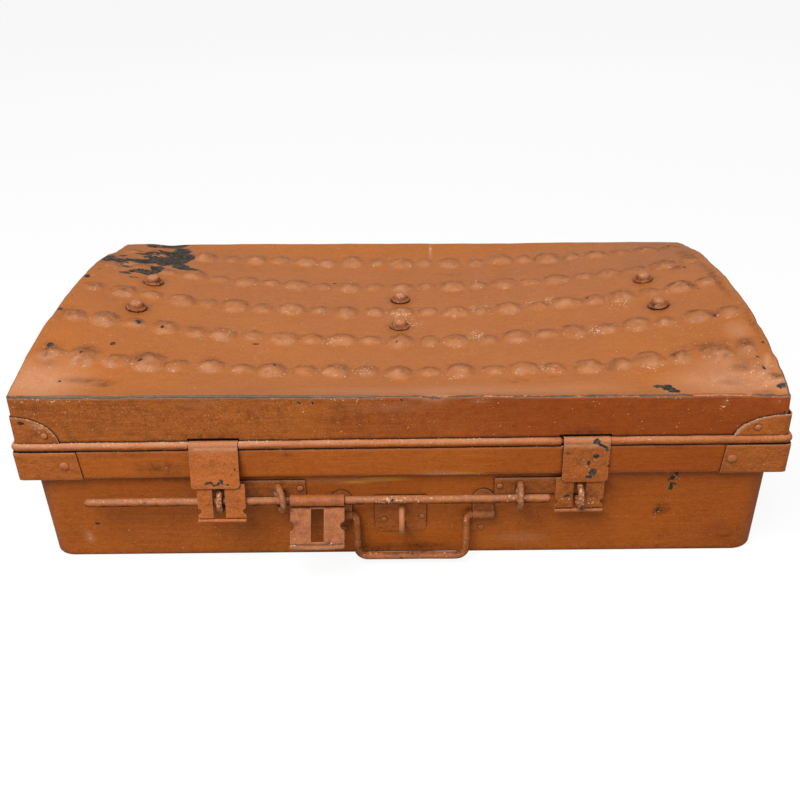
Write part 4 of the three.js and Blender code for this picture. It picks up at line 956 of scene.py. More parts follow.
print("body")
body = {
    "sheet": 1.2, "corner": (24, 26, 28, 28), "footRadius": 3.0,
    "dents": [
        (-250, -200, 60, (50, 10, 30), (0, 0.9, 0)), (230, -200, 50, (60, 10, 30), (0, 0.8, 0)),
        (0, -200, 20, (80, 10, 14), (0, -0.5, 0)), (120, -200, 70, (40, 10, 20), (0, 0.5, 0)),
        (-330, -196, 20, (14, 14, 16), (0.8, 0.8, 0)), (150, 200, 60, (70, 10, 30), (0, -1.0, 0)),
        (-170, 200, 50, (60, 10, 30), (0, -0.9, 0)), (355, 40, 50, (10, 60, 26), (-0.9, 0, 0)),
        (-355, -40, 56, (10, 60, 26), (0.9, 0, 0)),
    ],
}


def makeBody():
    halfX, halfY, top = trunk["wallHalfLength"], trunk["wallHalfDepth"], trunk["lipTop"]
    footRadius, sheet, radii = body["footRadius"], body["sheet"], body["corner"]

    def loop(z, inset):
        pulled = trunk["taper"] * (top - z) / top + inset
        return halfX - pulled, halfY - pulled, tuple(r - pulled for r in radii), z

    outer = [loop(top, 0.4), *[loop(z, 0) for z in np.linspace(top - 0.4, footRadius, 50)]]
    foot = [loop(footRadius * (1 - math.sin(a)), footRadius * (1 - math.cos(a)))
            for a in np.linspace(0, quarterTurn, 6)[1:]]
    under = [(h - 20, d - 20, tuple(max(r - 19, 1) for r in radii), 0.0) for h, d in [foot[-1][:2]]]
    innerFloor = [(h, d, r, sheet) for h, d, r, _ in under]
    walls = [loop(z, sheet) for z in np.linspace(4, top - 0.4, 12)]
    inner = [loop(sheet + 0.4, sheet + 1.5), *walls, loop(top, sheet)]
    loops = innerFloor + inner + outer + foot + under
    places, faces = loopStack(loops, longSteps=200, shortSteps=60, cornerSteps=8, cap=True)
    piece = makePiece("bodyShell", places, faces, casePaint)
    places = np.array(places, float)
    dent(places, body["dents"], 1, lambda p: np.clip(p[:, 2] / 12, 0, 1) * np.clip((96 - p[:, 2]) / 10, 0, 1))
    setPoints(piece, places)
    tidyMesh(piece, crease=50)
    places = pointsOf(piece)
    # darker towards the bottom; painted shade, darker and redder towards the right
    paint(piece, **{**bodyMarks, "grime": (0.35 * np.clip((9 - places[:, 2]) / 9, 0, 1), bodyMarks["grime"])},
          warm=0.25 * np.clip((places[:, 0] - 100) / 200, 0, 1))
    return piece


bodyMarks = {
    "chip": [
        (-300.7, -200, 40.5, (4, 3, 1.4), 1.0), (143, -200, 42, (2, 3, 1.4), 0.9),
        (260, -200, 76, (2.6, 3, 2.4), 1.3),
        *stroke([(266, -200, 98), (262, -200, 91), (258, -200, 86), (260, -200, 79), (259, -200, 73)],
                (1.5, 3, 2.0), 1.3),
        *stroke([(256, -200, 84), (264, -200, 82)], (1.6, 3, 1.2), 1.2),
        (-330, -196, 6, (6, 6, 3), 0.5),
    ],
    "rub": [
        (-312, -200, 24, (5, 3, 9), 0.5), (45, -200, 97, (40, 3, 3), 0.7),
        (120, -200, 18, (30, 3, 8), 0.25), (-60, -200, 90, (50, 3, 5), 0.3),
    ],
    "ochre": [(-14, -200, 91, (30, 3, 3), 1.2), (-42, -200, 87, (24, 3, 1.6), 1.2),
    (30, -200, 95, (40, 3, 2), 0.9),
              (252, -200, 44, (1.4, 3, 1.4), 1.4)],
    "fleck": [(-312, -200, 24, (6, 3, 10), 0.8), (250, -200, 46, (8, 3, 8), 0.9),
    (262, -200, 88, (9, 3, 14), 1.0),
              (60, -200, 97, (60, 3, 4), 1.0)],
    # dirt, and painted shade under the band, in the gaps under the hasps and round the fittings
    "grime": [
        (253, -200, 51, (8, 3, 7), 1.1), (-21, -200, 7, (22, 3, 5), 0.6), (19, -200, 9, (20, 3, 4), 0.55),
        (-207, -200, 95, (60, 3, 5), 0.4), (0, -200, 60, (34, 3, 26), 0.08),
        (-171, -200, 78, (40, 3, 16), 0.35),
        (171, -200, 78, (40, 3, 16), 0.4), (320, -200, 20, (20, 6, 14), 0.3),
        (-78, -200, 60, (36, 3, 20), 0.25),
        (-173, -200, 140, (28, 6, 8), 0.8), (173, -200, 140, (28, 6, 8), 0.8),
    ],
}
bodyShell = makeBody()
fitTo(bodyShell, "trunk_body", "case_paint", "body_bottom", "body_front", "body_back", "body_left_end",
      "body_right_end")

print("band")
band = {
    "sheet": 1.2, "edgeRadius": 2.2, "corner": 2.5,
    "rub": [(40, -207, 101, (34, 3, 2), 0.9)],
    "grime": [(-225, -207, 110, (26, 4, 8), 0.5), (-262, -207, 126, (60, 4, 3), 0.3),
              (-104, -208, 124, (6, 3, 3), 0.6), (250, -208, 128, (20, 3, 2), 0.4)],
    "chip": [(-224, -208, 116, (1.8, 3, 1.8), 0.8), (-240, -208, 106, (2, 3, 2), 0.5),
             (-104, -208, 122, (2, 3, 3), 0.55), (246, -208, 126, (7, 3, 1.2), 0.5)],
    "ochre": [(58, -207, 100.6, (34, 3, 2.2), 1.5)],
    "fleck": [(60, -207, 101, (36, 3, 2), 1.1), (-226, -207, 112, (20, 3, 5), 0.9)],
}


def makeBand():
    halfX, halfY = trunk["bandHalfLength"], trunk["bandHalfDepth"]
    top, foot, sheet = trunk["bandTop"], trunk["bandFoot"], band["sheet"]
    edge, corner = band["edgeRadius"], band["corner"]
    reach = halfX - trunk["wallHalfLength"]
    loops = [(halfX - reach - 0.4, halfY - reach - 0.4, 26.0, top), (halfX - 4, halfY - 4, corner, top)]
    for a in np.linspace(0, quarterTurn, 5):
        loops.append((halfX - edge + edge * math.sin(a), halfY - edge + edge * math.sin(a), corner,
                      top - edge + edge * math.cos(a)))
    for z in np.linspace(top - edge - 3, foot + 0.3, 9):
        loops.append((halfX, halfY, corner, z))
    loops += [(halfX - 0.3, halfY - 0.3, corner, foot), (halfX - sheet, halfY - sheet, corner, foot + 0.2)]
    loops += [(halfX - sheet, halfY - sheet, corner, top - sheet - 0.6),
              (halfX - reach - 0.4, halfY - reach - 0.4, 26.0, top - sheet)]
    places, faces = loopStack(loops, longSteps=200, shortSteps=60, cornerSteps=5, ring=True)
    piece = makePiece("rimBand", places, faces, casePaint)
    places = np.array(places, float)
    low = np.clip((top - 3 - places[:, 2]) / 20, 0, 1)
    wave = 0.45 * low * np.abs(ripple(places * (1, 1, 0.4), 60, 12))
    for axis, face in ((1, 200), (0, 355)):
        places[:, axis] -= np.sign(places[:, axis]) * wave * (np.abs(places[:, axis]) > face)
    setPoints(piece, places)
    tidyMesh(piece, crease=50)
    places = pointsOf(piece)
    # painted highlight along the rounded top edge, paler along the foot; painted shade, darker and redder
    # towards the right
    upper = np.clip((places[:, 2] - top + 3) / 3, 0, 1)
    lower = np.clip((foot + 1.4 - places[:, 2]) / 1.4, 0, 1) * (places[:, 2] < foot + 2)
    paint(piece, rub=(0.35 * upper + 0.3 * lower, band["rub"]), fleck=(0.5 * upper, band["fleck"]),
          grime=band["grime"], chip=band["chip"], ochre=band["ochre"],
          warm=np.clip((places[:, 0] - 60) / 300, 0, 0.5))
    return piece


rimBand = makeBand()
fitTo(rimBand, "trunk_body", "case_paint", "rim_front", "rim_back", "rim_left", "rim_right")


# a plate folded round an upright corner of the trunk; rows give its half length at each height
def foldedPlate(name, corner, signs, rows, thickness, fold, slope=0.0):
    columns, halfArc = 40, fold * quarterTurn / 2
    places = []
    for length, z, top in rows:
        out = cornerPlates["gap"] + slope * (top - z)
        for c in range(columns + 1):
            run = (2 * c / columns - 1) * length
            past = fold + abs(run) - halfArc
            if abs(run) < halfArc:
                angle = (1 + run / halfArc) * math.pi / 4
                move = (fold * (math.cos(angle) - 1) + out, fold * (math.sin(angle) - 1) + out)
            else:
                move = (-past, out) if run > 0 else (out, -past)
            places.append((*(sign * (at + by) for sign, at, by in zip(signs, corner, move)), z))
    mesh = places, gridFaces(len(rows), columns + 1)
    return makeSheet(name, mesh, (*signs, 0), thickness, inwards=False, soften=0.28)


print("corner plates")
cornerPlates = {
    "rimTopLength": 58.5, "rimFootLength": 60.6, "rimThickness": 1.1, "rimTop": 129.9, "rimFoot": 99.4,
    "rimFold": 2.6, "lidFold": 3.0, "lidThickness": 1.0, "gap": 0.15,
    # signs of x and y, then the length and the height of the lid's plate
    "corners": {"front_left": (-1, -1, 40, 29), "front_right": (1, -1, 48, 22.5),
                "back_right": (1, 1, 48, 26), "back_left": (-1, 1, 48, 26)},
    "rub": [(-332, -205, 158, (10, 3, 5), 0.5)], "fleck": [(-330, -205, 156, (12, 3, 6), 1.0)],
    "grime": [(-340, -205, 148, (9, 3, 9), 0.45), (-322, -205, 142, (5, 3, 4), 0.6)],
    "chip": [(-348.4, -205, 160.4, (3.8, 3, 2.8), 1.0)],
}
for name, (*signs, length, height) in cornerPlates["corners"].items():
    top, foot = cornerPlates["rimTop"], cornerPlates["rimFoot"]
    runs = np.linspace(cornerPlates["rimFootLength"], cornerPlates["rimTopLength"], 9)
    rows = [(run, z, top) for run, z in zip(runs, np.linspace(foot, top, 9))]
    plate = foldedPlate("rimCorner." + name, (trunk["bandHalfLength"], trunk["bandHalfDepth"]), signs, rows,
                        cornerPlates["rimThickness"], cornerPlates["rimFold"])
    paint(plate, rub=0.35 * np.clip((pointsOf(plate)[:, 2] - top + 1.2) / 1.2, 0, 1))
    fitTo(plate, "trunk_body", "fittings_paint", "rim_corner_" + name)
    foot = trunk["beadZ"] + bead["radius"] - 1.2
    rows = [(max(length * math.cos(a), 3.0), foot + height * math.sin(a), trunk["lidEdge"])
            for a in np.linspace(0, quarterTurn * 0.985, 15)]
    plate = foldedPlate("lidCorner." + name, (trunk["lidHalfLength"], trunk["lidHalfDepth"]), signs, rows,
                        cornerPlates["lidThickness"], cornerPlates["lidFold"],
                        lid["flare"] / (trunk["lidEdge"] - lid["notchTop"]))
    x, y, z = np.abs(pointsOf(plate).T)
    reach = np.hypot((x - trunk["lidHalfLength"]) / length, (z - foot) / height)
    lip = np.clip((reach - 0.9) * 10, 0, 1) * (y > 200)
    paint(plate, rub=((1.1 if name == "front_right" else 0.35) * lip, cornerPlates["rub"]),
          fleck=(1.1 * lip, cornerPlates["fleck"]), grime=(0.1 * (x > 346), cornerPlates["grime"]),
          chip=cornerPlates["chip"])
    fitTo(plate, "lid", "fittings_paint", "lid_corner_" + name)


# Geometry Nodes: a copy of one head on each point, turned to the point's own direction and sized by it
def headsTree(name, head):
    tree, keys, given = startTree(name, ("Size",))
    facing, size = (
        addNode(tree, "GeometryNodeInputNamedAttribute", {"Name": key}, data_type=kind).outputs[0]
        for key, kind in (("facing", "FLOAT_VECTOR"), ("size", "FLOAT")))
    size = addNode(tree, "ShaderNodeMath", {0: size, 1: given["Size"]}, operation="MULTIPLY").outputs[0]
    turn = addNode(tree, "FunctionNodeAlignRotationToVector", {"Vector": facing}, axis="Z").outputs[0]
    shape = addNode(tree, "GeometryNodeObjectInfo", {"Object": head}).outputs["Geometry"]
    copies = addNode(tree, "GeometryNodeInstanceOnPoints", {
        "Points": given["Geometry"], "Instance": shape, "Rotation": turn, "Scale": size}).outputs[0]
    endTree(tree, copies, fittingsPaint)
    return tree, keys


# a turned shape about Z, from a profile of radius and height in millimetres
def turnedMesh(profile, sides):
    places = [(radius * math.cos(a), radius * math.sin(a), height) for radius, height in profile
              for a in np.linspace(0, 2 * math.pi, sides, endpoint=False)]
    return places, gridFaces(len(profile), sides, wrap=True) + endFaces(len(profile), sides)


# heads as one plain mesh: spots are (x, y, z, facing, size)
def makeHeads(name, profile, spots, sides=20):
    head = tidyMesh(makePiece(name + "One", *turnedMesh(profile, sides), fittingsPaint), crease=70)
    points = makePiece(name, [spot[:3] for spot in spots], [], fittingsPaint)
    facing = points.data.attributes.new("facing", "FLOAT_VECTOR", "POINT")
    facing.data.foreach_set("vector", [value for spot in spots for value in spot[3]])
    size = points.data.attributes.new("size", "FLOAT", "POINT")
    size.data.foreach_set("value", [spot[4] for spot in spots])
    copies = points.modifiers.new("heads", "NODES")
    copies.node_group, keys = headsTree(name + "Heads", head)
    copies[keys["Size"]] = 1.0
    settle(points)
    bpy.data.objects.remove(head)
    return tidyMesh(points, crease=70)


print("rivets and studs")
rivet = {
    "profile": [(0.94, -0.12), (1.0, 0.05), (0.97, 0.2), (0.86, 0.33), (0.62, 0.44), (0.3, 0.5),
                (0.04, 0.51)],
    # radii of the heads, then their places
    "band": 4.9, "plate": 3.1, "centrePlate": 2.9, "clip": 3.2, "hinge": 3.2, "lid": 3.2,
    "bandRun": 46, "frontRightRun": 52, "plateX": (96, 185), "plateZ": 82.4, "centreX": 2.3,
    "centreHalf": 18.6, "centreZ": 45.5, "clipHalf": 67.5, "clipZ": 32, "hingeHalf": 11, "hingeY": 208.5,
    "hingeZ": 113.7, "lidX": 329.5, "lidY": 205.3, "lidEndX": 360.1, "lidEndY": 170, "lidZ": 147,
}
front, rear = (0, -1, 0), (0, 1, 0)


def bodyRivets():
    spots = []
    halfX, halfY = trunk["bandHalfLength"], trunk["bandHalfDepth"]
    middle = (trunk["bandTop"] + trunk["bandFoot"]) / 2
    out = cornerPlates["gap"] + cornerPlates["rimThickness"] - 0.95
    for side in (-1, 1):
        for level, way in ((-1, front), (1, rear)):
            run = rivet["frontRightRun"] if side > 0 and level < 0 else rivet["bandRun"]
            endY = level * (halfY - rivet["bandRun"])
            spots.append((side * (halfX - run), level * (halfY + out), middle, way, rivet["band"]))
            spots.append((side * (halfX + out), endY, middle, (side, 0, 0), rivet["band"]))
        for x in rivet["plateX"]:
            spots.append((side * x, -wallAt(82) - 1.7, rivet["plateZ"], front, rivet["plate"]))
        spots.append((rivet["centreX"] + side * rivet["centreHalf"], -wallAt(46) - 1.5,
                      rivet["centreZ"] + side * 1.5, front, rivet["centrePlate"]))
        spots.append((trunk["handle"] + side * rivet["clipHalf"], -wallAt(32) - 0.1, rivet["clipZ"], front,
                      rivet["clip"]))
        for off in (-rivet["hingeHalf"], rivet["hingeHalf"]):
            spots.append((side * trunk["hinge"] + off, rivet["hingeY"], rivet["hingeZ"], rear,
                          rivet["hinge"]))
    return spots


def lidRivets():
    spots = []
    for side in (-1, 1):
        for level, way in ((-1, front), (1, rear)):
            spots.append((side * rivet["lidX"], level * rivet["lidY"], rivet["lidZ"], way, rivet["lid"]))
            spots.append((side * rivet["lidEndX"], level * rivet["lidEndY"], rivet["lidZ"], (side, 0, 0),
                          rivet["lid"]))
    return spots


for name, spots, rub, bodyName in (("bodyRivets", bodyRivets(), 0.2, "trunk_body"),
                                   ("lidRivets", lidRivets(), 0.3, "lid")):
    heads = makeHeads(name, rivet["profile"], spots)
    paint(heads, rub=rub)
    fitTo(heads, bodyName, "fittings_paint")

studs = {
    "profile": [(10.1, -1.0), (10.6, -0.2), (10.7, 0.6), (10.3, 1.5), (9.5, 2.2), (8.6, 2.5), (8.0, 2.55),
                (7.7, 2.9), (7.5, 4.0), (7.1, 5.4), (6.2, 6.8), (4.9, 7.9), (3.3, 8.6), (1.7, 8.9),
                (0.1, 9.0)],
    "stations": {"left": -282, "centre": 0, "right": 276}, "rows": {"front": -27.5, "rear": 45.5},
}
studPlaces = {f"stud_{a}_{b}": (x, y) for a, x in studs["stations"].items() for b, y in studs["rows"].items()}


def lidTopAt(x, y):
    rise = lid["leftRise"] if x < 0 else lid["rightRise"]
    along, across = (x / trunk["lidHalfLength"]) ** 2, min(abs(y) / trunk["lidHalfDepth"], 1)
    return (trunk["lidEdge"] + rise * along * (1 - across ** lid["archPower"]) ** lid["archFall"]
            - lid["sag"] * (1 - along) * (1 - across ** lid["sagPower"])
            - lid["skew"] * x / trunk["lidHalfLength"])


# studs stand square to the arch
def studSpot(x, y):
    slope = (lidTopAt(x + 1, y) - lidTopAt(x - 1, y)) / 2
    return x, y, lidTopAt(x, y) + 0.3, tuple(Vector((-slope, 0, 1)).normalized()), 1.0


lidStuds = makeHeads("lidStuds", studs["profile"], [studSpot(*place) for place in studPlaces.values()],
                     sides=36)
places = pointsOf(lidStuds)
away = np.min([np.hypot(places[:, 0] - x, places[:, 1] - y) for x, y in studPlaces.values()], axis=0)
collar = np.clip((away - 6.2) / 1.6, 0, 1)
paint(lidStuds, rub=0.5 - 0.35 * collar, grime=0.12 + 0.42 * collar, fleck=0.6)
fitTo(lidStuds, "lid", "fittings_paint", *studPlaces)

# the straps inside the lid, one under each pair of studs
lidStrap = {"half": 9, "end": 14, "sheet": 1.8, "gap": 0.5}
for name, x in studs["stations"].items():
    xs = [x + share * lidStrap["half"] for share in (-1, -0.33, 0.33, 1)]
    ys = np.linspace(studs["rows"]["front"] - lidStrap["end"], studs["rows"]["rear"] + lidStrap["end"], 15)
    places = [(a, b, lidTopAt(a, b) - lid["sheet"] - lidStrap["gap"]) for b in ys for a in xs]
    strap = makeSheet("lidStrap." + name, (places, gridFaces(len(ys), len(xs))), (0, 0, 1), lidStrap["sheet"])
    fitTo(strap, "lid", "fittings_paint", "lid_strap_" + name)


# a strap: its path in the plane across the trunk, its edges along it, and its slot: left, right, from, to
def strapMesh(path, leftEdge, rightEdge, slot=None, step=1.6):
    path = refine([(0, a, b) for a, b in path], step)[:, 1:]
    lengths = np.concatenate([[0], np.cumsum(np.linalg.norm(np.diff(path, axis=0), axis=1))])
    for value in slot[2:] if slot else ():
        nearest = int(np.argmin(np.abs(lengths - value)))
        share = path[min(nearest + 1, len(path) - 1)] - path[nearest - 1]
        path[nearest] += share / np.linalg.norm(share) * (value - lengths[nearest])
        lengths[nearest] = value
    places = []
    for (y, z), along in zip(path, lengths):
        left, right = leftEdge(along), rightEdge(along)
        stops = np.linspace(left, right, 27)
        if slot:
            stops = [*np.linspace(left, slot[0], 11), *np.linspace(slot[0], slot[1], 7)[1:],
                     *np.linspace(slot[1], right, 11)[1:]]
        places += [(x, y, z) for x in stops]

    def inSlot(row, column):
        return slot[2] < (lengths[row] + lengths[row + 1]) / 2 < slot[3] and 10 <= column < 16

    return places, gridFaces(len(lengths), 27, skip=inSlot if slot else None)


# arc points in the plane across the trunk, as (y, z)
def arcPoints(centreY, centreZ, radius, start, end, steps):
    return [(centreY + radius * math.cos(a), centreZ + radius * math.sin(a))
            for a in np.linspace(start, end, steps)]


# a straight edge with a round notch
def notched(base, towards, place, radius):
    def edge(along):
        off = abs(along - place)
        return base + (towards * math.sqrt(radius ** 2 - off ** 2) if off < radius else 0)

    return edge


# a leaf's edge that turns in at its free end
def roundedEnd(base, inwards, radius):
    def edge(along):
        off = max(radius - along, 0)
        return base + inwards * (radius - math.sqrt(max(radius ** 2 - off ** 2, 0)))

    return edge


# an edge that stays at a nearer line as far as a station, then steps out
def stepped(edge, near, station):
    return lambda along: near if along < station else edge(along)


# swings a hung piece about its pin and moves it there
def hang(piece, pin, degrees):
    turn = Matrix.Rotation(-math.radians(degrees), 4, "X")
    piece.data.transform(Matrix.Translation(Vector(pin) * mm) @ turn)
    piece.data.update()
    return piece


print("hasps")
hasp = {
    "width": 45.5, "sheet": 1.2, "outerLeaf": 41.5, "innerLeaf": 75.8, "innerTop": 1.5, "corner": 3.6,
    "roll": 4.25, "inner": 2.35, "curl": 1.9, "step": 37, "slotHalf": 6, "slotTop": 40, "slotFoot": 73,
    "notchAt": 65, "notchRadius": 3, "shift": {"left": 4.5, "right": 2.0},
    "short": {"left": -0.4, "right": 2.6}, "tilt": {"left": 14.5, "right": 2.0},
    "chip": {
        "left": [*stroke([(-182, -214, 101), (-177, -214, 102), (-173.6, -214, 98.4), (-170, -214, 100.4),
                          (-166.8, -214, 104), (-165, -214, 101), (-160.4, -214, 99.6)], (1.7, 9, 1.5), 1.4),
                 (-153.6, -212, 114, (1.6, 8, 2.4), 1.0), (-157, -214, 109, (1.2, 9, 1.6), 0.9),
                 (-155, -216, 69, (5, 8, 2.4), 1.1), (-160, -218, 70, (5, 8, 1.4), 0.8),
                 (-153, -212, 128, (1.4, 8, 8), 0.6)],
        "right": [*stroke([(186, -209, 133), (192, -209, 130), (193, -209, 127)], (1.8, 8, 1.4), 1.2),
                  (183, -209, 136, (3.6, 8, 2.6), 1.3), (183, -209, 121, (3.4, 8, 2.4), 1.1),
                  (177, -209, 114, (2.2, 8, 5), 0.9), (181.5, -209, 104, (4.2, 8, 4), 1.4),
                  (178, -209, 99, (4.6, 8, 2), 1.2), (157, -209, 124, (3, 8, 1.6), 0.8),
                  (160, -209, 76, (7, 8, 3), 0.75), (195, -209, 112, (1.2, 8, 10), 0.7)],
    },
}


def makeHasp(name, side):
    half, sheet, roll, inner = hasp["width"] / 2, hasp["sheet"], hasp["roll"], hasp["inner"]
    shift, short, corner = -side * hasp["shift"][name], hasp["short"][name], hasp["corner"]
    # the outer leaf: a roll over the wire, then down to an end that stands off a little
    leaf = hasp["outerLeaf"]
    path = [(-roll - 1.5, -leaf), (-roll - 1.4, -leaf + 5), (-roll - 0.8, -leaf + 14), (-roll - 0.6, -14),
            (-roll - 0.1, -3), *arcPoints(0, 0, roll, math.pi, -0.7, 18)]
    low, high = (-half, half - short) if side < 0 else (-half + short, half)
    mesh = strapMesh(path, roundedEnd(low, 1, corner), roundedEnd(high, -1, corner), step=1.0)
    outerLeaf = makeSheet(name + "HaspLeaf", mesh, (0, -1, 0.2), sheet, soften=0.35)
    # the inner leaf: slot, side notches, and its end curled outwards
    foot, curl, top = hasp["innerLeaf"], hasp["curl"], hasp["innerTop"]
    path = [(-inner, -top), (-inner, -foot + 2 * curl),
            *arcPoints(-inner - curl, -foot + curl, curl, 0, -1.4 * math.pi, 14)]
    notch = (hasp["notchAt"] - top, hasp["notchRadius"])
    leftEdge, rightEdge = notched(shift - half, 1, *notch), notched(shift + half, -1, *notch)
    if side < 0:
        rightEdge = stepped(rightEdge, high - 0.6, hasp["step"])
    else:
        leftEdge = stepped(leftEdge, low + 0.6, hasp["step"])
    slotX, slotHalf = -side * 2, hasp["slotHalf"]
    slot = (slotX - slotHalf, slotX + slotHalf, hasp["slotTop"] - top, hasp["slotFoot"] - top)
    mesh = strapMesh(path, leftEdge, rightEdge, slot, step=0.9)
    innerLeaf = makeSheet(name + "HaspInner", mesh, (0, -1, 0), sheet, inwards=False)
    piece = joinPieces(name + "Hasp", [outerLeaf, innerLeaf])
    places = pointsOf(piece)
    places[:, 1] += 0.3 * ripple(places, 17, 21 + side)
    setPoints(piece, places)
    piece.data.set_sharp_from_angle(angle=math.radians(38))
    return hang(piece, (side * trunk["hasp"], -trunk["beadY"], trunk["beadZ"]), hasp["tilt"][name])


def joinPieces(name, parts):
    shape = bmesh.new()
    for part in parts:
        shape.from_mesh(part.data)
    mesh = bpy.data.meshes.new(name)
    shape.to_mesh(mesh)
    shape.free()
    mesh.materials.append(parts[0].data.materials[0])
    for part in parts:
        bpy.data.objects.remove(part)
    mesh.polygons.foreach_set("use_smooth", [True] * len(mesh.polygons))
    return addObject(name, mesh)


for name, side in bothSides:
    piece = makeHasp(name, side)
    z = pointsOf(piece)[:, 2]
    # painted highlight along the top of the roll and on the curled lip; painted shade on the inner leaf under
    # the outer one
    roll, lip = np.clip((z - 126) / 10, 0, 1), np.clip((62 - z) / 3, 0, 1)
    paint(piece, rub=0.4 * roll + 1.1 * lip, chip=hasp["chip"][name],
          grime=[(side * 173, -210, 117, (16, 12, 6), 0.18),
                 (side * 171, -212, 78, (24, 12, 16), 0.44 - 0.08 * side)],
          fleck=(0.7 * lip, [(side * 173, -212, 70, (24, 12, 12), 0.9), (178, -210, 112, (12, 8, 16), 0.9)]))
    fitTo(piece, name + "_hasp", "fittings_paint", name + "_hasp")

print("bar, rings and staples")
bar = {
    "radius": 4.0, "left": -302.3, "right": 143.3, "knock": 0.22,
    "fleck": [(-4, -218, 80, (30, 8, 6), 1.2), (110, -218, 80, (20, 8, 6), 1.0)],
    "chip": [(-8, -219, 79, (5, 4, 3), 0.6), (-240, -219, 79, (6, 4, 3), 0.5)],
}


def makeWire(name, path, radius, plane, sides, knock, seed):
    places, faces = wireMesh(path, radius, plane, sides, knock, seed)
    return tidyMesh(makePiece(name, places, faces, fittingsPaint), crease=60)


barPath = refine([(bar["left"] + bar["radius"], trunk["barY"], trunk["barZ"]),
                  (bar["right"] - bar["radius"], trunk["barY"], trunk["barZ"])], 7)
lockBar = makeWire("lockBar", barPath, bar["radius"], (0, 0, 1), sides=20, knock=bar["knock"], seed=8)
# painted highlight along the top of the bar, painted shade along its underside
above = pointsOf(lockBar)[:, 2] - trunk["barZ"]
upper = np.clip(above / 4, 0, 1)
paint(lockBar, rub=0.08 + 0.42 * upper, grime=0.24 + 0.8 * np.clip((0.4 - above) / 3, 0, 1),
      fleck=(0.6 * upper, bar["fleck"]), chip=bar["chip"])
fitTo(lockBar, "lock_bar", "fittings_paint", "lock_bar")


def staplePath(x, height, halfHeight, reach, radius):
    root = -wallAt(height) + 1.5
    bendY = -wallAt(height) - reach + radius + halfHeight
    turn = [(x, bendY - halfHeight * math.cos(a), height + halfHeight * math.sin(a))
            for a in np.linspace(quarterTurn, -quarterTurn, 15)]
    return refine([(x, root, height + halfHeight), *turn, (x, root, height - halfHeight)], 2.5)


staples = {
    "wire": 2.9, "half": 9, "reach": 26.6, "knock": 0.1, "centreX": 1.6, "centreZ": 52, "centreWire": 2.85,
    "centreHalf": 13.4, "centreReach": 28,
    "centreChip": [(1, -227, 47, (3, 3, 3), 0.6), (2, -224, 39, (3, 3, 2), 0.55)],
}
ring = {"radius": 11.5, "wire": 3.0, "lift": 3.0, "turn": {"left": 22, "right": -3}}


# an eye ring with its shank, turned a little about the upright
def makeRing(name, x):
    turn = math.radians(ring["turn"][name])
    middle = np.array((x, trunk["barY"], trunk["barZ"] + ring["lift"]))
    circle = [middle + ring["radius"] * np.array((-math.sin(turn) * math.cos(a), math.cos(turn) * math.cos(a),
                                                  math.sin(a))) for a in np.linspace(0, 2 * math.pi, 33)]
    places, faces = wireMesh(circle, ring["wire"], (math.cos(turn), math.sin(turn), 0))
    shankPath = refine([(x, trunk["barY"] + 12.5, trunk["barZ"]), (x, -wallAt(77) + 1.5, trunk["barZ"])], 2)
    shank, more = wireMesh(shankPath, ring["wire"], (1, 0, 0))
    faces += [tuple(v + len(places) for v in face) for face in more]
    return tidyMesh(makePiece(name + "GuideRing", places + shank, faces, fittingsPaint), crease=60)


for name, side in bothSides:
    path = staplePath(side * trunk["staple"], trunk["barZ"], staples["half"], staples["reach"],
                      staples["wire"])
    staple = makeWire(name + "Staple", path, staples["wire"], (1, 0, 0), sides=14, knock=staples["knock"],
                      seed=30 + side)
    paint(staple, rub=0.3, grime=0.35, fleck=1.1, chip=[(side * 171, -226, 74, (3, 4, 5), 0.55)])
    fitTo(staple, "trunk_body", "fittings_paint", name + "_staple")
    eye = makeRing(name, side * trunk["ring"])
    paint(eye, rub=0.3, grime=0.3, fleck=0.7, chip=[(side * 114, -228, 70, (3, 4, 5), 0.6)])
    fitTo(eye, "trunk_body", "fittings_paint", name + "_guide_ring")
path = staplePath(staples["centreX"], staples["centreZ"], staples["centreHalf"], staples["centreReach"],
                  staples["centreWire"])
centreStaple = makeWire("centreStaple", path, staples["centreWire"], (1, 0, 0), sides=14,
                        knock=staples["knock"], seed=41)
paint(centreStaple, rub=0.4, chip=staples["centreChip"])
fitTo(centreStaple, "trunk_body", "fittings_paint", "centre_staple")


# a flat plate on the front wall from its outline, with softened edges
def frontPlate(name, outline, thickness, node):
    places = [(x, -wallAt(z) - frontPlates["lift"], z) for x, z in outline]
    piece = orient(makePiece(name, places, [tuple(range(len(outline)))], fittingsPaint), (0, -1, 0))
    shape = bmesh.new()
    shape.from_mesh(piece.data)
    bmesh.ops.triangulate(shape, faces=shape.faces)
    bmesh.ops.subdivide_edges(shape, edges=shape.edges, cuts=3, use_grid_fill=True)
    shape.to_mesh(piece.data)
    shape.free()
    thicken(piece, thickness, inwards=False, soften=0.35)
    return fitTo(piece, "trunk_body", "fittings_paint", node)


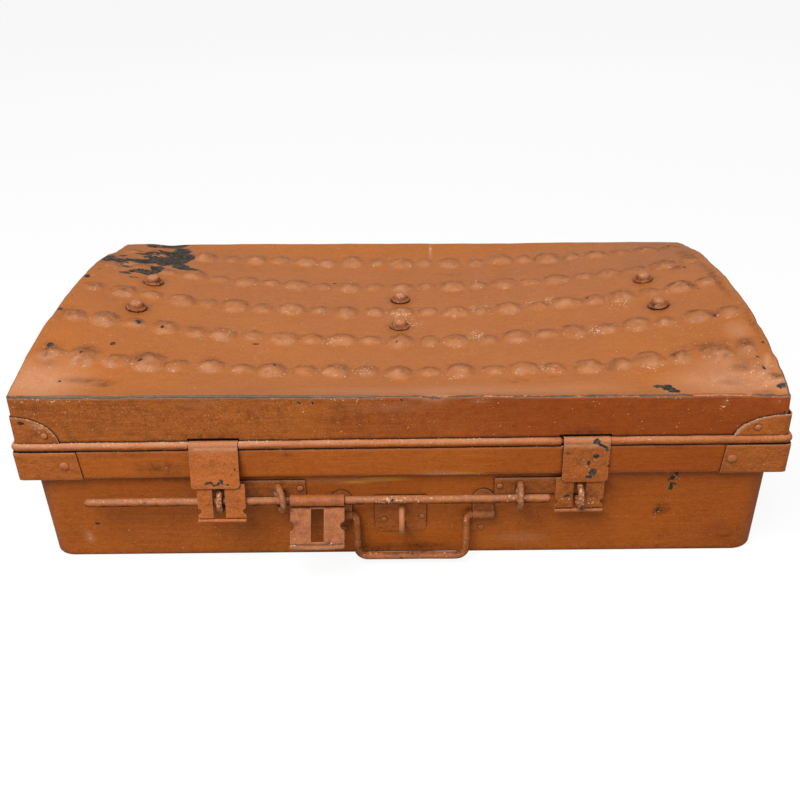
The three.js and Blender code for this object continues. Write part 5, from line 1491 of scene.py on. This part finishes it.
frontPlates = {"lift": 0.1, "near": 91, "far": 190, "foot": 73, "top": 91.4, "sheet": 1.4, "centreHalf": 25,
               "centreFoot": 29, "centreTop": 72, "centreRound": 8, "centreSheet": 1.3}
for name, side in bothSides:
    near, far = side * frontPlates["near"], side * frontPlates["far"]
    foot, top = frontPlates["foot"], frontPlates["top"]
    plate = frontPlate(name + "StaplePlate", [(near, foot), (far, foot), (far, top), (near, top)],
                       frontPlates["sheet"], name + "_staple_plate")
    paint(plate, rub=0.4 * np.clip((pointsOf(plate)[:, 2] - 90) / 1.4, 0, 1),
          grime=[(side * 108, -203, 82, (16, 4, 8), 0.35), (side * 150, -203, 82, (30, 4, 8), 0.3)])
half, foot, top, bend = (frontPlates["centre" + key] for key in ("Half", "Foot", "Top", "Round"))
corner = [(half - bend + bend * math.cos(a), foot + bend + bend * math.sin(a))
          for a in np.linspace(-quarterTurn, 0, 8)]
outline = [(-x, z) for x, z in reversed(corner)] + corner + [(half, top), (-half, top)]
centrePlate = frontPlate("centrePlate", outline, frontPlates["centreSheet"], "centre_plate")
paint(centrePlate, grime=[(0, -203, 62, (12, 4, 12), 0.4), (-20, -203, 45, (8, 4, 8), 0.3)])

print("padlock plate")
lockPlate = {
    "centre": -78.5, "width": 51.5, "sheet": 1.4, "length": 45.5, "tilt": 38, "roll": 6.0, "face": 0.7,
    "curl": 2.3, "slotHalf": 6.15, "slotTop": 8, "slotFoot": 38.5, "notchAt": 24, "notchRadius": 4,
    "grime": [(-70, -240, 52, (10, 10, 6), 0.45), (-66, -236, 46, (5, 10, 3), 0.6),
              (-100, -230, 60, (6, 10, 14), 0.45)],
    "fleck": [(-104, -240, 44, (8, 12, 8), 1.0), (-66, -240, 44, (12, 12, 6), 0.9)],
}


# a roll round the bar that stands proud of the plate hanging from it, with its end curled outwards
def makeLockPlate():
    half, roll, face, curl = lockPlate["width"] / 2, lockPlate["roll"], lockPlate["face"], lockPlate["curl"]
    foot = -lockPlate["length"]
    path = arcPoints(face - curl, foot + curl, curl, -1.4 * math.pi, 0, 14)
    start = sum(math.dist(a, b) for a, b in zip(path, path[1:])) - (foot + curl)
    path += [(face, -10), (face + 0.5, -8), *arcPoints(0, 0, roll, -math.pi / 3, 1.36 * math.pi, 30)]
    slotHalf, slotTop, slotFoot = (lockPlate[key] for key in ("slotHalf", "slotTop", "slotFoot"))
    slot = (-slotHalf, slotHalf, start - slotFoot, start - slotTop)
    notch = (start - lockPlate["notchAt"], lockPlate["notchRadius"])
    mesh = strapMesh(path, notched(-half, 1, *notch), notched(half, -1, *notch), slot, step=1.2)
    piece = makeSheet("lockPlate", mesh, (0, -1, -0.3), lockPlate["sheet"], inwards=False, soften=0.32)
    places = pointsOf(piece)
    bow = np.clip((-places[:, 2] - 34) / 10, 0, 1)
    places[:, 2] -= bow * 0.9 * np.cos(places[:, 0] / half * 1.6)
    places[:, 1] += 0.22 * ripple(places, 15, 51)
    setPoints(piece, places)
    piece.data.set_sharp_from_angle(angle=math.radians(38))
    return hang(piece, (lockPlate["centre"], trunk["barY"], trunk["barZ"]), lockPlate["tilt"])


padlockPlate = makeLockPlate()
# painted shade over the whole plate, which leans up towards the light, and a painted highlight on its curled
# lip
lip = np.clip((46 - pointsOf(padlockPlate)[:, 2]) / 3, 0, 1)
paint(padlockPlate, rub=0.14 + 0.9 * lip, grime=(0.24, lockPlate["grime"]),
      fleck=(0.9 * lip, lockPlate["fleck"]))
fitTo(padlockPlate, "lock_plate", "fittings_paint", "lock_plate")

print("handle")
handle = {
    "halfWidth": 52.35, "drop": 44.6, "reach": 78.85, "wire": 3.8, "tilt": 10.5, "height": 53,
    "pivotY": -206.35, "knock": 0.25, "shift": 2.2,
    "chip": [(0, -219, 9, (6, 4, 3), 0.55), (-38, -210, 40, (3, 4, 6), 0.5)],
}
right, drop, reach = handle["halfWidth"], handle["drop"], handle["reach"] - 1
left = -right - handle["shift"]
path = [(-reach, 0, 0), (left, 0, 0), (left, 0, -drop), (right, 0, -drop), (right, 0, 0), (reach, 0, 0)]
path = filletPath(path[:3], 6)[:-1] + filletPath(path[1:5], 10)[1:-1] + filletPath(path[3:], 6)[1:]
carryHandle = makeWire("carryHandle", refine(path, 3), handle["wire"], (0, 1, 0), sides=18,
                       knock=handle["knock"], seed=61)
hang(carryHandle, (trunk["handle"], handle["pivotY"], handle["height"]), handle["tilt"])
_, y, z = pointsOf(carryHandle).T
# painted shade behind the legs and along the top of the lower rod, over an even grime; a painted highlight on
# the front of the lower rod
paint(carryHandle, rub=0.1 + 0.25 * (y < -217.5), fleck=0.5, chip=handle["chip"],
      grime=0.3 + 0.3 * np.clip((y + 210) / 4, 0, 1) + 0.35 * (z > 12) * (z < 20))
fitTo(carryHandle, "carry_handle", "fittings_paint", "carry_handle")

clip = {"off": 68.85, "half": 10, "radius": 4.55, "sheet": 1.3, "top": 78.5, "foot": 46.5}


def makeClip(name, side):
    middle, half = trunk["handle"] + side * clip["off"], clip["half"]
    face, pivotY, pivotZ = -wallAt(84) - 1.1, handle["pivotY"], handle["height"]
    path = [(face, clip["top"]), (face, pivotZ + 7), (face - 0.6, pivotZ + 5.2),
            *arcPoints(pivotY, pivotZ, clip["radius"], 0.42 * math.pi, 1.62 * math.pi, 18),
            (face - 0.9, pivotZ - 5.6), (face, clip["foot"])]

    def halfAt(along):
        return half if along >= half else max(math.sqrt(half ** 2 - (half - along) ** 2), 1.5)

    mesh = strapMesh(path, lambda a: middle - halfAt(a), lambda a: middle + halfAt(a), step=1.2)
    return makeSheet(name + "HandleClip", mesh, (0, -1, 0), clip["sheet"])


for name, side in bothSides:
    piece = makeClip(name, side)
    paint(piece, rub=0.12, grime=0.28)
    fitTo(piece, "trunk_body", "fittings_paint", name + "_handle_clip")

print("rear hinges")
hinge = {"half": 20, "sheet": 1.3, "roll": 3.0, "length": 32, "lift": 0.55}


def makeHinge(name, side):
    middle, roll = side * trunk["hinge"], hinge["roll"]
    centreY, centreZ = trunk["beadY"], trunk["beadZ"]
    path = [(centreY + roll, centreZ - hinge["length"]), (centreY + roll, centreZ - 2),
            *arcPoints(centreY, centreZ, roll, 0.0, math.pi * 1.45, 20)]
    mesh = strapMesh(path, lambda a: middle - hinge["half"], lambda a: middle + hinge["half"])
    piece = makeSheet(name + "HingeStrap", mesh, (0, 1, 0), hinge["sheet"])
    setPoints(piece, pointsOf(piece) + (0, hinge["lift"], 0))
    return piece


for name, side in bothSides:
    fitTo(makeHinge(name, side), "trunk_body", "fittings_paint", name + "_hinge_strap")

# the CAD pieces that stay: the wires in the rolls
for node in ("left_hasp_wire", "right_hasp_wire", "left_hinge_wire", "right_hinge_wire"):
    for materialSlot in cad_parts[node].material_slots:
        materialSlot.material = fittingsPaint


print("studio")
light = {"world": 0.3, "floor": "#fdfdfc", "bounce": "#83817c", "whiten": 0.9}


def makeStudio():
    scene = bpy.context.scene
    scene.view_settings.view_transform = "Standard"
    world = bpy.data.worlds.new("softRoom")
    scene.world = world
    tree = emptyTree(world)
    seen = addNode(tree, "ShaderNodeLightPath").outputs["Is Camera Ray"]
    strength = addNode(tree, "ShaderNodeMapRange", {
        "Value": seen, "To Min": light["world"], "To Max": 1.0}).outputs[0]
    glow = addNode(tree, "ShaderNodeBackground", {"Color": (1, 1, 1, 1), "Strength": strength}).outputs[0]
    addNode(tree, "ShaderNodeOutputWorld", {"Surface": glow})

    paper = bpy.data.materials.new("paperFloor")
    tree = emptyTree(paper)
    seen = addNode(tree, "ShaderNodeLightPath").outputs["Is Camera Ray"]
    tone = addNode(tree, "ShaderNodeMix", {
        0: seen, 6: toLinear(light["bounce"]), 7: toLinear(light["floor"])}, data_type="RGBA").outputs[2]
    matt = addNode(tree, "ShaderNodeBsdfDiffuse", {"Color": tone}).outputs[0]
    white = addNode(tree, "ShaderNodeEmission", {"Color": (1, 1, 1, 1), "Strength": 1.0}).outputs[0]
    share = addNode(tree, "ShaderNodeMath", {0: seen, 1: light["whiten"]}, operation="MULTIPLY").outputs[0]
    both = addNode(tree, "ShaderNodeMixShader", {0: share, 1: matt, 2: white}).outputs[0]
    addNode(tree, "ShaderNodeOutputMaterial", {"Surface": both})
    size = 30
    mesh = bpy.data.meshes.new("floor")
    corners = [(x * size, y * size, -0.0005) for x, y in ((-1, -1), (1, -1), (1, 1), (-1, 1))]
    mesh.from_pydata(corners, [], [(0, 1, 2, 3)])
    mesh.materials.append(paper)
    addObject("floor", mesh)

    lamps = (
        ("key", (-0.7, -1.5, 2.5), (0.0, 0.0, 0.1), 1.7, 92),
        ("fill", (1.9, -1.5, 1.2), (0.0, -0.1, 0.1), 1.6, 9),
        ("low", (-0.7, -2.4, 0.35), (0.0, -0.2, 0.08), 1.5, 6),
        ("rear", (0.2, 2.4, 1.4), (0.0, 0.1, 0.1), 2.2, 4),
    )
    for name, place, target, wide, power in lamps:
        data = bpy.data.lights.new(name, "AREA")
        data.shape = "SQUARE"
        data.size = wide
        data.energy = power
        lamp = addObject(name, data)
        lamp.location = place
        lamp.rotation_euler = (Vector(target) - Vector(place)).to_track_quat("-Z", "Y").to_euler()


makeStudio()
